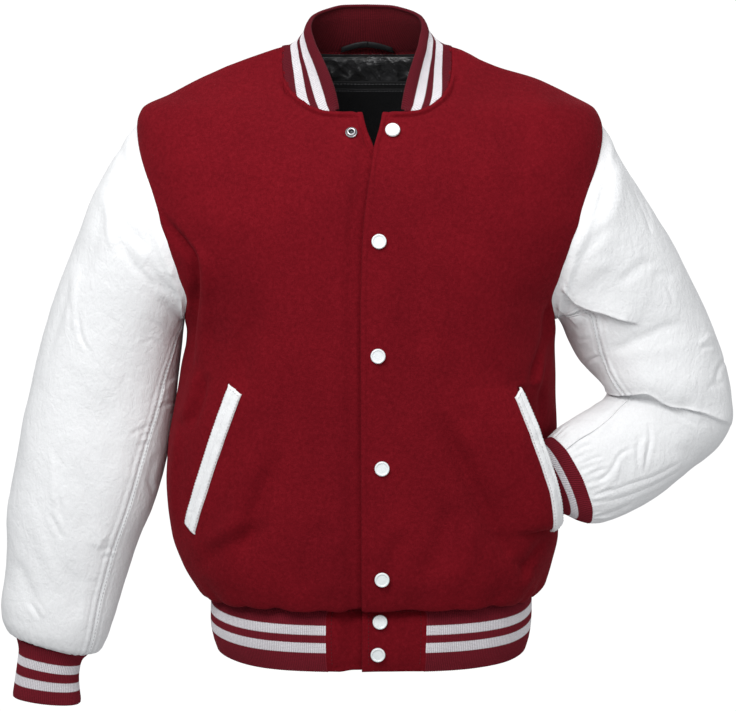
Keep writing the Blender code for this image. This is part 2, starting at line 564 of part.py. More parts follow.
def collar_normal(station, q):
    e = 1e-3
    station, q = np.broadcast_arrays(np.asarray(station, float), np.asarray(q, float))
    up = collar_point(station, np.minimum(q + e, 1)) - collar_point(station, np.maximum(q - e, 0))
    along = collar_point(np.minimum(station + e, 1), q) - collar_point(np.maximum(station - e, -1), q)
    return unit(np.cross(up, along))


# ---------------------------------------------------------------- meshes
COLLECTION = bpy.data.collections.new("varsity_jacket")
bpy.context.scene.collection.children.link(COLLECTION)


def material(name, colour, roughness, metallic=0.0):
    made = bpy.data.materials.new(name)
    made.use_nodes = True
    shader = made.node_tree.nodes["Principled BSDF"]
    shader.inputs["Base Color"].default_value = (*colour, 1.0)
    shader.inputs["Roughness"].default_value = roughness
    shader.inputs["Metallic"].default_value = metallic
    made.diffuse_color = (*colour, 1.0)
    return made


WOOL = material("red_wool", (0.200, 0.008, 0.018), 0.90)
LEATHER = material("white_leather", (0.780, 0.790, 0.810), 0.50)
RIB = material("maroon_rib", (0.110, 0.010, 0.020), 0.92)
LINING = material("black_lining", (0.012, 0.012, 0.014), 0.55)
BLACK = material("black_leather", (0.015, 0.015, 0.017), 0.60)
WHITE = material("white_snap", (0.830, 0.830, 0.840), 0.25)
NICKEL = material("nickel", (0.560, 0.560, 0.570), 0.28, 1.0)


def add(name, points, faces, look):
    mesh = bpy.data.meshes.new(name)
    mesh.from_pydata([tuple(map(float, p)) for p in points], [], faces)
    mesh.validate()
    mesh.materials.append(look)
    obj = bpy.data.objects.new(name, mesh)
    COLLECTION.objects.link(obj)
    return obj


def grid_faces(rows, cols, start=0, wrap=False):
    """Triangles of a grid, outward when the columns turn to +X seen from the front and the rows go up."""
    out = []
    for i in range(rows - 1):
        for j in range(cols if wrap else cols - 1):
            k = (j + 1) % cols
            a, b = start + i * cols + j, start + i * cols + k
            c, d = start + (i + 1) * cols + k, start + (i + 1) * cols + j
            out += [(a, b, c), (a, c, d)]
    return out


def shell(name, outer, inner, faces, look, flip=False):
    """Closed wall between two matching surfaces: the outer faces, the inner faces and a strip round each open edge."""
    outer, inner = outer.reshape(-1, 3), inner.reshape(-1, 3)
    keys, first, index = {}, [], []
    for n, p in enumerate(outer):
        key = tuple(np.round(p * 1e7).astype(int))
        if key not in keys:
            keys[key] = len(first)
            first.append(n)
        index.append(keys[key])
    outer, inner = outer[first], inner[first]
    faces = [tuple(index[v] for v in f) for f in faces]
    faces = [f[::-1] if flip else f for f in faces if len(set(f)) == 3]
    n = len(outer)
    edges = {}
    for f in faces:
        for k in range(3):
            edges[f[k], f[(k + 1) % 3]] = True
    rim = [(a, b) for a, b in edges if (b, a) not in edges]
    every = list(faces) + [tuple(n + v for v in f[::-1]) for f in faces]
    order = outer @ np.array([1.0, 2.3, 3.7])
    for a, b in rim:  # neighbours split the strip along a shared seam the same way
        every += [(b, a, n + a), (b, n + a, n + b)] if order[a] < order[b] else [(b, a, n + b), (a, n + a, n + b)]
    return add(name, np.concatenate([outer, inner]), every, look)


def shares(*stops):
    """Shares from stop to stop, each given with the number of steps up to it."""
    out = [stops[0]]
    for end, steps in stops[1:]:
        out += list(np.linspace(out[-1], end, steps + 1)[1:])
    return np.array(out)


# ---------------------------------------------------------------- body panels
UNDER = TORSO_FORM.at(ARMHOLE_ROWS[-1][0])
OUTER_COLUMNS = shares(NECK_SHARE, (WELT_SHARE, 2), (SLIT_SHARE, 1), (1.0, 3))[1:]
BACK_COLUMNS = shares(0.0, (NECK_SHARE, 5), (1.0, 5))
LOW = np.array([0.0] + list(TORSO_FORM.level[1:4]) + [TORSO_FORM.at(z) for z in (
    -0.555, POCKET_LOW[1], -0.502, -0.470, -0.430, -0.392, POCKET_TOP[1], -0.325)] + [UNDER]) / UNDER
SLIT_ROWS = slice(5, 11)
HOLE_TURNS = np.array([180.0, 170.0, 160.0, 137.0, 114.0, 91.0, 68.0, 45.0, 22.0, 0.0])
HIGH = 1 - HOLE_TURNS / 180


def front_columns(side):
    """Columns of a front; those along the neckline stand where the collar's sections do."""
    neck = np.concatenate([shares(0.0, (collar_stop(side), 5)), [1.0]])
    return np.concatenate([(1 - neck[::-1]) * NECK_SHARE, OUTER_COLUMNS])


SLIT_COLUMN = int(np.argmin(np.abs(front_columns(1) - SLIT_SHARE)))


def surface(grid, side, back, beyond):
    a, w = grid[..., 0], grid[..., 1]
    angle = TORSO_FORM.angle_at(a, w, side, back)
    normal = TORSO_FORM.normal(angle, w)
    moved = 0.0 if back else push(a, w, side, beyond, normal)
    return TORSO_FORM.point(angle, w) + moved, normal


FRONT = {}
for side, name in ((-1, "front_right"), (1, "front_left")):
    grid = panel(side, False, front_columns(side), LOW, HIGH)
    pieces = [surface(grid[:, :SLIT_COLUMN + 1], side, False, False),
              surface(grid[:, SLIT_COLUMN:], side, False, True)]
    FRONT[side] = pieces[0]
    points = np.concatenate([p.reshape(-1, 3) for p, n in pieces])
    normals = np.concatenate([n.reshape(-1, 3) for p, n in pieces])
    near, far = pieces[0][0].shape, pieces[1][0].shape
    faces = grid_faces(near[0], near[1]) + grid_faces(far[0], far[1], near[0] * near[1])
    shell(name, points, points - WOOL_T * normals, faces, WOOL, flip=side < 0)

halves = [surface(panel(side, True, BACK_COLUMNS, LOW, HIGH), side, True, False) for side in (1, -1)]
back_points = np.concatenate([halves[0][0][:, ::-1], halves[1][0][:, 1:]], axis=1)
back_normals = np.concatenate([halves[0][1][:, ::-1], halves[1][1][:, 1:]], axis=1)
rows, cols = back_points.shape[:2]
shell("back", back_points, back_points - WOOL_T * back_normals, grid_faces(rows, cols), WOOL)


def on_back(name, row_range, column_range, lift, thick, look):
    """A piece laid on the inside of the back, made from the back's own points moved in."""
    p, n = back_points[row_range, column_range], back_normals[row_range, column_range]
    shell(name, p - lift * n, p - (lift + thick) * n, grid_faces(*p.shape[:2]), look)


# The lining shows inside the back of the neck, with a patch and a bare label on it.
MIDDLE, TOP_ROW = len(BACK_COLUMNS) - 1, len(LOW) + len(HIGH) - 2
under_lining = WOOL_T + GAP
on_back("lining", slice(TOP_ROW - 6, TOP_ROW), slice(MIDDLE - 6, MIDDLE + 7), under_lining, LINING_T, LINING)
on_patch = under_lining + LINING_T + GAP
on_back("locker_patch", slice(TOP_ROW - 5, TOP_ROW - 1), slice(MIDDLE - 4, MIDDLE + 5), on_patch, 0.0010, LINING)
on_label = on_patch + 0.0010 + GAP
on_back("neck_label", slice(TOP_ROW - 4, TOP_ROW - 2), slice(MIDDLE - 2, MIDDLE + 3), on_label, 0.0008, BLACK)

# ---------------------------------------------------------------- pocket welts
for side, name in ((-1, "welt_right"), (1, "welt_left")):
    p, n = (part[SLIT_ROWS, SLIT_COLUMN - 1:SLIT_COLUMN + 1] for part in FRONT[side])
    lift = GAP
    shell(name, p + (lift + 0.0024) * n, p + lift * n, grid_faces(*p.shape[:2]), LEATHER, flip=side < 0)

# ---------------------------------------------------------------- sleeves
ALONG = shares(0.0, (0.10, 2), (1.0, 12))
OUT_TURNS = np.concatenate([-HOLE_TURNS[2:], HOLE_TURNS[2:-1][::-1]]) / HOLE_TURNS[2]
IN_TURNS = np.linspace(0, 1, 5)
for rows_of, cuff_rows, side, word in ((SLEEVE_RIGHT, CUFF_RIGHT, -1, "right"), (SLEEVE_LEFT, CUFF_LEFT, 1, "left")):
    tube = Tube(rows_of, side, armhole=True)
    front_turn, back_turn = (turn[:, None] for turn in seam_turns(ALONG, side))
    upper = np.where(OUT_TURNS > 0, front_turn, 360.0 - back_turn) * OUT_TURNS
    under = front_turn + (back_turn - front_turn) * IN_TURNS
    end_turns = np.concatenate([upper[-1], under[-1, 1:-1]])
    for label, turns in (("upper", upper), ("under", under)):
        speed = np.linalg.norm(tube.point(ALONG, turns + 0.5) - tube.point(ALONG, turns - 0.5), axis=-1)
        turns[:, 0] += 0.8 * GAP / speed[:, 0]
        turns[:, -1] -= 0.8 * GAP / speed[:, -1]
        points, wall = tube.point(ALONG, turns), tube.wall(ALONG, turns)
        points[0] += 2 * GAP * unit(points[1] - points[0])
        points[-1] += GAP * unit(points[-2] - points[-1])
        shell(f"sleeve_{word}_{label}", points, points - LEATHER_T * wall, grid_faces(*points.shape[:2]), LEATHER,
              flip=side < 0)
    cuff = Tube(cuff_rows, side)
    steps = np.linspace(0, 1, 5)
    points, wall = cuff.point(steps, end_turns[None]), cuff.normal(steps, end_turns[None])
    points[0] += GAP * unit(points[1] - points[0])
    shell(f"cuff_{word}", points, points - RIB_T * wall, grid_faces(len(steps), len(end_turns), wrap=True), RIB,
          flip=side < 0)

# ---------------------------------------------------------------- collar
stations = shares(0.0, (0.5, 5), (1.0, 5))
stations = np.concatenate([-stations[:0:-1], stations])
q = np.linspace(0, 1, 5)
points = collar_point(stations[None], q[:, None])
normals = collar_normal(stations[None], q[:, None])
base_angle = np.where(stations < 0, collar_base(np.abs(stations), -1)[0], collar_base(np.abs(stations), 1)[0])
base_w = np.where(stations < 0, collar_base(np.abs(stations), -1)[1], collar_base(np.abs(stations), 1)[1])
normals[0] = TORSO_FORM.normal(base_angle, base_w)
points[0] += 3 * GAP * unit(points[1] - points[0])
shell("collar", points, points - RIB_T * normals, grid_faces(*points.shape[:2]), RIB, flip=True)

# ---------------------------------------------------------------- waistband
def band_angle(x):
    return float(BAND_FORM.angle_of_x(np.array(x), np.array(BAND_FORM.at(-0.64))))


def band_piece(name, start, end, steps, sink, look):
    w = BAND_FORM.level[[0, 1, 2, 4, 6]]
    angles = np.linspace(start, end, steps + 1)
    p = BAND_FORM.point(angles[None], w[:, None])
    n = BAND_FORM.normal(angles[None], w[:, None])
    p = p - sink(angles)[None, :, None] * n
    shell(name, p, p - RIB_T * n, grid_faces(*p.shape[:2]), look, flip=True)


seam = GAP / 2 / 0.18
band_piece("waistband_rib", band_angle(TAB_LEFT) + seam, band_angle(TAB_RIGHT) + 2 * math.pi - seam, 26,
           lambda a: np.zeros(a.shape), RIB)
lap_edge, lap_under = band_angle(-0.0083), band_angle(0.0300)
band_piece("waist_tab_left", lap_edge, band_angle(TAB_LEFT) - seam, 6, lambda a: np.zeros(a.shape), WOOL)
band_piece("waist_tab_right", band_angle(TAB_RIGHT) + seam, lap_under, 10,
           lambda a: (RIB_T + LAP) * ramp((a - (lap_edge - 0.100)) / 0.070), WOOL)


# ---------------------------------------------------------------- snaps, stud and hang loop
def turned(name, centre, axis, profile, look, steps=12):
    """A solid of revolution; profile rows are (radius, height), from the axis at the top to the axis at the bottom."""
    mesh = bpy.data.meshes.new(name)
    mesh.from_pydata([(radius, 0.0, height) for radius, height in profile], [(k, k + 1) for k in range(len(profile) - 1)], [])
    mesh.materials.append(look)
    obj = bpy.data.objects.new(name, mesh)
    COLLECTION.objects.link(obj)
    obj.location = centre
    obj.rotation_euler = Vector(axis).to_track_quat("Z", "Y").to_euler()
    screw = obj.modifiers.new("turn", "SCREW")
    screw.axis = "Z"
    screw.steps = screw.render_steps = steps
    screw.use_merge_vertices = True
    screw.merge_threshold = 0.0001
    screw.use_smooth_shade = True
    return obj


def spot(x, z):
    form = BAND_FORM if z < -0.6 else TORSO_FORM
    w = form.at(z)
    angle = form.angle_of_x(np.array(x), np.array(w))
    return form.point(angle, w), form.normal(angle, w)


for name, x, z in SNAPS:
    centre, axis = spot(x, z)
    turned(name, centre, axis, ((0, 0.0037), (0.0045, 0.0035), (0.0073, 0.0027), (SNAP_RADIUS, 0.0014), (0.0072, 0.0005),
                                (0, 0.0005)), WHITE)
centre, axis = spot(*STUD)
turned("snap_stud", centre, axis, ((0, 0.0048), (0.0034, 0.0044), (0.0036, 0.0019), (0.0062, 0.0016), (0.0062, 0.0005),
                                   (0, 0.0005)), NICKEL)

span = np.linspace(-1, 1, 9)
x_at = collar_point(np.linspace(-0.4, 0.4, 81), np.full(81, 0.10))[:, 0]
station = np.interp(0.004 + 0.0190 * span, x_at, np.linspace(-0.4, 0.4, 81))
bow = 1 - span ** 2
loop = []
for part_q in (0.04, 0.16):
    p, n = collar_point(station, part_q + 0.05 * bow), collar_normal(station, np.full(9, part_q))
    loop.append((p - (RIB_T + 0.0010 + 0.0035 * bow)[:, None] * n, n))
points, normals = np.stack([loop[0][0], loop[1][0]]), np.stack([loop[0][1], loop[1][1]])
shell("hang_loop", points, points - 0.0014 * normals, grid_faces(2, 9), BLACK, flip=True)
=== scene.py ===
"""Looks of the varsity jacket: wool body, leather sleeves and welts, rib collar, cuffs and waistband, worn form with
nobody in it. Each piece is a thin cloth shell on the form of its CAD solid, with its folds placed one by one.

World axes: +X is the wearer's left, -Y is the front, +Z is up; the origin is the middle of the neck base.
"""
import math

import bpy
import numpy as np
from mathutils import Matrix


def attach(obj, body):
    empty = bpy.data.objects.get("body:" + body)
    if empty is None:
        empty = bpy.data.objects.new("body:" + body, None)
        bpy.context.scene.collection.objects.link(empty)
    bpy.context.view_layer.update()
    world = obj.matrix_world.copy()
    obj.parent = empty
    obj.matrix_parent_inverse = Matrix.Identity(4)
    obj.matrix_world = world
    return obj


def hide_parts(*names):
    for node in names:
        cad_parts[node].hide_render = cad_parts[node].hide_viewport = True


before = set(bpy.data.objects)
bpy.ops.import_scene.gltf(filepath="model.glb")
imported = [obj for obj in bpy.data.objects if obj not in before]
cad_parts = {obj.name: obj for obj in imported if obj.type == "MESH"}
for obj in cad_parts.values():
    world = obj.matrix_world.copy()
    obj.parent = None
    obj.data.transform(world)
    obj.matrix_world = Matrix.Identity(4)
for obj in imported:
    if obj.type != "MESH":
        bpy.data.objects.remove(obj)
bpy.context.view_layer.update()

# ---------------------------------------------------------------- sizes, in metres and degrees
WOOL_T = 0.0026        # melton wool fronts, back and waistband ends
LEATHER_T = 0.0018     # sleeves and pocket welts
RIB_T = 0.0032         # collar, cuffs and waistband: rib knit folded double
LINING_T = 0.0012
GAP = 0.0003           # clearance between sewn pieces

# The garment is a stack of level rings. Each row is one ring, from the waistband seam up to the neck point:
# height, half width to -X and +X, front and back depth, squareness of the ring (2 is an ellipse).
RING = ("z", "minus_x", "plus_x", "front", "back", "square")
TORSO = (
    (-0.6010, 0.1745, 0.1825, 0.1235, 0.1030, 2.70),
    (-0.6050, 0.1825, 0.1895, 0.1300, 0.1085, 2.65),
    (-0.6025, 0.1895, 0.1935, 0.1365, 0.1135, 2.60),
    (-0.5900, 0.1995, 0.1980, 0.1430, 0.1185, 2.55),
    (-0.5680, 0.2125, 0.2045, 0.1475, 0.1225, 2.50),
    (-0.5350, 0.2230, 0.2110, 0.1485, 0.1245, 2.45),
    (-0.4800, 0.2265, 0.2125, 0.1460, 0.1245, 2.40),
    (-0.4330, 0.2240, 0.2105, 0.1440, 0.1245, 2.40),
    (-0.3600, 0.2120, 0.2075, 0.1420, 0.1265, 2.40),
    (-0.3100, 0.2055, 0.2055, 0.1405, 0.1290, 2.55),
    (-0.2753, 0.2100, 0.2085, 0.1390, 0.1300, 2.70),
    (-0.2418, 0.2320, 0.2300, 0.1370, 0.1315, 2.70),
    (-0.2078, 0.2525, 0.2510, 0.1340, 0.1330, 2.70),
    (-0.1811, 0.2600, 0.2590, 0.1310, 0.1335, 2.70),
    (-0.1308, 0.2585, 0.2585, 0.1210, 0.1320, 2.70),
    (-0.1000, 0.2580, 0.2580, 0.1080, 0.1265, 2.60),
    (-0.0800, 0.2572, 0.2560, 0.0965, 0.1200, 2.50),
    (-0.0640, 0.2515, 0.2490, 0.0840, 0.1140, 2.35),
    (-0.0471, 0.2216, 0.2180, 0.0665, 0.1060, 2.10),
    (-0.0306, 0.1884, 0.1840, 0.0470, 0.0970, 2.05),
    (-0.0142, 0.1486, 0.1440, 0.0290, 0.0880, 2.00),
    (0.0045, 0.0965, 0.0895, 0.0120, 0.0780, 2.00),
)
# The waistband, from its seam inside the rolled wool down to its folded lower edge.
BAND = (
    (-0.5970, 0.1712, 0.1792, 0.1205, 0.1000, 2.70),
    (-0.6025, 0.1722, 0.1800, 0.1215, 0.1010, 2.70),
    (-0.6095, 0.1765, 0.1825, 0.1258, 0.1053, 2.70),
    (-0.6220, 0.1790, 0.1825, 0.1285, 0.1080, 2.70),
    (-0.6400, 0.1790, 0.1820, 0.1290, 0.1085, 2.70),
    (-0.6580, 0.1765, 0.1800, 0.1275, 0.1070, 2.70),
    (-0.6705, 0.1725, 0.1765, 0.1245, 0.1045, 2.70),
)
# Armhole edge on the front and on the back: height, and angle round the ring from the centre front or back.
ARMHOLE = ("z", "front_deg", "back_deg")
ARMHOLE_ROWS = (
    (-0.0800, 90.0, 90.0),
    (-0.0880, 86.0, 86.5),
    (-0.1050, 78.0, 80.0),
    (-0.1300, 68.5, 72.0),
    (-0.1530, 61.5, 67.0),
    (-0.1800, 56.5, 63.5),
    (-0.2050, 55.0, 62.5),
    (-0.2280, 57.0, 63.5),
    (-0.2500, 61.5, 66.5),
    (-0.2700, 68.0, 71.5),
    (-0.2840, 75.0, 77.5),
    (-0.2930, 83.0, 84.0),
    (-0.2960, 90.0, 90.0),
)
# Neckline seam: distance from the centre, height.
NECK = ("x", "z")
NECK_FRONT = ((0.0, -0.0656), (0.0200, -0.0656), (0.0345, -0.0653), (0.0480, -0.0643), (0.0590, -0.0614),
              (0.0685, -0.0565), (0.0790, -0.0480), (0.0865, -0.0375), (0.0905, -0.0260), (0.0922, -0.0120),
              (0.0925, 0.0045))
NECK_BACK = ((0.0, -0.0030), (0.0300, -0.0027), (0.0550, -0.0015), (0.0740, 0.0003), (0.0860, 0.0024),
             (0.0925, 0.0045))
# Front edges: height, edge of the wearer's left front, edge of the right front that lies under it.
EDGE = ("z", "left_front", "right_front")
EDGES = (
    (-0.7000, -0.0079, 0.0300), (-0.5800, -0.0088, 0.0300), (-0.4000, -0.0094, 0.0300), (-0.2700, -0.0096, 0.0300),
    (-0.2200, -0.0086, 0.0300), (-0.2030, -0.0078, 0.0298), (-0.1770, -0.0061, 0.0280), (-0.1490, -0.0023, 0.0240),
    (-0.1250, 0.0010, 0.0178), (-0.1010, 0.0045, 0.0045), (-0.0960, 0.0058, 0.0022), (-0.0830, 0.0098, -0.0030),
    (-0.0656, 0.0140, -0.0086),
)
# The collar's profile at stations from the centre back (0) by the neck point (0.5) to its front end (1):
# where it bends up out of the shoulder, and its top edge.
COLLAR = ("station", "bend_x", "bend_y", "bend_z", "top_x", "top_y", "top_z")
COLLAR_ROWS = (
    (0.00, 0.0000, 0.0700, 0.0150, 0.0000, 0.0590, 0.0515),
    (0.15, 0.0285, 0.0660, 0.0150, 0.0255, 0.0550, 0.0508),
    (0.30, 0.0570, 0.0490, 0.0125, 0.0455, 0.0420, 0.0462),
    (0.42, 0.0725, 0.0250, 0.0080, 0.0595, 0.0210, 0.0380),
    (0.50, 0.0735, 0.0040, 0.0040, 0.0630, 0.0010, 0.0270),
    (0.60, 0.0725, -0.0180, -0.0090, 0.0590, -0.0210, 0.0105),
    (0.70, 0.0690, -0.0360, -0.0235, 0.0520, -0.0400, -0.0060),
    (0.80, 0.0625, -0.0530, -0.0395, 0.0450, -0.0560, -0.0230),
    (0.90, 0.0515, -0.0690, -0.0530, 0.0385, -0.0700, -0.0425),
    (1.00, 0.0365, -0.0810, -0.0632, 0.0345, -0.0805, -0.0617),
)
COLLAR_END = 0.0380        # the collar stops this far either side of the centre front

# Sleeve and cuff sections from the armhole down: outer and inner edge of the section (x and z), y of its middle,
# lean of the arm towards the front in degrees, half depth front to back, squareness.
SECTION = ("outer_x", "outer_z", "inner_x", "inner_z", "y", "lean", "deep", "square")
SLEEVE_RIGHT = (
    (-0.2970, -0.1390, -0.2080, -0.2975, 0.000, 0.0, 0.0870, 2.1),
    (-0.3270, -0.2070, -0.2085, -0.3040, 0.002, 0.0, 0.0840, 2.1),
    (-0.3510, -0.2700, -0.2100, -0.3200, 0.004, 0.0, 0.0780, 2.1),
    (-0.3710, -0.3355, -0.2150, -0.3620, 0.004, 0.0, 0.0720, 2.1),
    (-0.3880, -0.4000, -0.2240, -0.4270, 0.002, 0.0, 0.0690, 2.1),
    (-0.3995, -0.4600, -0.2360, -0.4850, -0.001, 0.0, 0.0650, 2.1),
    (-0.4095, -0.5250, -0.2590, -0.5450, -0.005, 0.0, 0.0590, 2.1),
    (-0.4155, -0.5850, -0.2790, -0.6050, -0.009, 0.0, 0.0530, 2.1),
    (-0.4185, -0.6250, -0.2920, -0.6430, -0.012, 0.0, 0.0480, 2.1),
    (-0.4165, -0.6400, -0.2990, -0.6620, -0.014, 0.0, 0.0430, 2.1),
    (-0.4100, -0.6510, -0.3060, -0.6730, -0.015, 0.0, 0.0370, 2.1),
    (-0.3985, -0.6565, -0.3190, -0.6765, -0.015, 0.0, 0.0290, 2.1),
)
CUFF_RIGHT = (
    (-0.3984, -0.6569, -0.3191, -0.6769, -0.015, 0.0, 0.0290, 2.1),
    (-0.3965, -0.6680, -0.3240, -0.6830, -0.015, 0.0, 0.0270, 2.1),
    (-0.3980, -0.6850, -0.3285, -0.6980, -0.016, 0.0, 0.0260, 2.1),
    (-0.4010, -0.7050, -0.3295, -0.7150, -0.016, 0.0, 0.0260, 2.1),
    (-0.4040, -0.7240, -0.3280, -0.7325, -0.017, 0.0, 0.0255, 2.1),
)
SLEEVE_LEFT = (
    (0.2785, -0.1210, 0.2080, -0.2960, 0.000, 0.0, 0.0860, 2.1),
    (0.3035, -0.1600, 0.2110, -0.2990, 0.004, 0.0, 0.0850, 2.1),
    (0.3325, -0.2060, 0.2160, -0.3080, 0.008, 0.0, 0.0820, 2.1),
    (0.3585, -0.2520, 0.2240, -0.3260, 0.012, 0.0, 0.0790, 2.1),
    (0.3800, -0.2965, 0.2360, -0.3460, 0.014, 0.0, 0.0770, 2.1),
    (0.3970, -0.3415, 0.2540, -0.3650, 0.014, 2.0, 0.0770, 2.1),
    (0.4060, -0.3860, 0.2660, -0.3765, 0.010, 8.0, 0.0700, 2.1),
    (0.4060, -0.4160, 0.2660, -0.3835, 0.006, 12.0, 0.0610, 2.1),
    (0.3920, -0.4405, 0.2610, -0.3880, -0.003, 18.0, 0.0570, 2.1),
    (0.3590, -0.4680, 0.2510, -0.3920, -0.013, 24.0, 0.0530, 2.1),
    (0.3190, -0.4945, 0.2375, -0.3975, -0.030, 28.0, 0.0470, 2.1),
    (0.2810, -0.5115, 0.2215, -0.4050, -0.044, 30.0, 0.0400, 2.1),
    (0.2545, -0.5190, 0.2060, -0.4130, -0.055, 30.0, 0.0335, 2.1),
    (0.2410, -0.5185, 0.1975, -0.4225, -0.060, 30.0, 0.0280, 2.1),
)
CUFF_LEFT = (
    (0.2406, -0.5186, 0.1971, -0.4226, -0.0602, 30.0, 0.0280, 2.1),
    (0.2310, -0.5140, 0.1900, -0.4260, -0.0640, 30.0, 0.0215, 2.1),
    (0.2130, -0.5060, 0.1770, -0.4330, -0.0680, 29.0, 0.0170, 2.1),
    (0.1990, -0.5050, 0.1660, -0.4365, -0.0715, 27.0, 0.0150, 2.1),
    (0.1890, -0.5050, 0.1570, -0.4385, -0.0742, 26.0, 0.0150, 2.1),
)
# Lengthwise seams of the right (-1) and left (1) sleeve between its two leather pieces, as turns round it from its
# outer side.
SEAM = ("share", "front_deg", "back_deg")
SEAMS = {
    -1: ((0.0, 160.0, 200.0), (0.12, 163.0, 204.0), (0.35, 146.0, 218.0), (0.6, 132.0, 226.0), (0.85, 134.0, 227.0),
         (1.0, 141.0, 228.0)),
    1: ((0.0, 160.0, 200.0), (0.06, 161.0, 202.0), (0.12, 146.0, 206.0), (0.22, 124.0, 213.0), (0.42, 133.0, 222.0),
        (0.6, 132.0, 226.0), (1.0, 130.0, 228.0)),
}

# Pocket slits: upper and lower end, x and z; the left one gapes because the cuff goes in behind its welt.
POCKET_TOP, POCKET_LOW = (0.1580, -0.3600), (0.2000, -0.5220)
MOUTH_LIFT, MOUTH_DENT = 0.0265, 0.0400
LAP = 0.0021           # clearance where one front or tab lies over the other
WELT_WIDE, WELT_PAST = 0.0215, 0.0030

SNAPS = (("snap_cap_1", 0.0240, -0.0857), ("snap_cap_2", 0.0094, -0.2014), ("snap_cap_3", 0.0084, -0.3227),
         ("snap_cap_4", 0.0127, -0.4432), ("snap_cap_5", 0.0128, -0.5629),
         ("snap_cap_6", 0.0107, -0.6144), ("snap_cap_7", 0.0085, -0.6497))
SNAP_RADIUS = 0.0080
STUD = (-0.0201, -0.0878)
TAB_RIGHT, TAB_LEFT = -0.0490, 0.0618      # outer ends of the two wool tabs of the waistband
NECK_SHARE, WELT_SHARE, SLIT_SHARE = 0.47, 0.60, 0.66   # neck point, welt and pocket slit across a panel's columns


def table(names, rows):
    return {name: np.array([row[k] for row in rows], float) for k, name in enumerate(names)}


def curve(xs, ys, x, even=True):
    """A smooth curve through the points; with even it never swings past a point."""
    xs, ys, x = np.asarray(xs, float), np.asarray(ys, float), np.asarray(x, float)
    wide = ys.reshape(len(xs), -1)
    step = np.diff(xs)[:, None]
    rise = np.diff(wide, axis=0) / step
    slope = np.empty_like(wide)
    slope[0], slope[-1] = rise[0], rise[-1]
    if len(xs) > 2:
        a, b = rise[:-1], rise[1:]
        if even:
            both = np.where(a * b > 0, a + b, 1.0)
            slope[1:-1] = np.where(a * b > 0, 2 * a * b / both, 0.0)
        else:
            slope[1:-1] = (a * step[1:] + b * step[:-1]) / (step[1:] + step[:-1])
    flat = x.reshape(-1)
    k = np.clip(np.searchsorted(xs, flat, side="right") - 1, 0, len(xs) - 2)
    h = step[k]
    t = np.clip((flat - xs[k])[:, None] / h, 0.0, 1.0)
    t2, t3 = t * t, t * t * t
    out = ((2 * t3 - 3 * t2 + 1) * wide[k] + (t3 - 2 * t2 + t) * h * slope[k]
           + (-2 * t3 + 3 * t2) * wide[k + 1] + (t3 - t2) * h * slope[k + 1])
    return out.reshape(x.shape + ys.shape[1:])


def ramp(t):
    t = np.clip(t, 0.0, 1.0)
    return t * t * (3 - 2 * t)


def bump(t):
    """1 at t = 0, falling smoothly to 0 at t = 1 and beyond."""
    return 1 - ramp(np.abs(t))


def unit(v):
    return v / np.maximum(np.linalg.norm(v, axis=-1, keepdims=True), 1e-12)


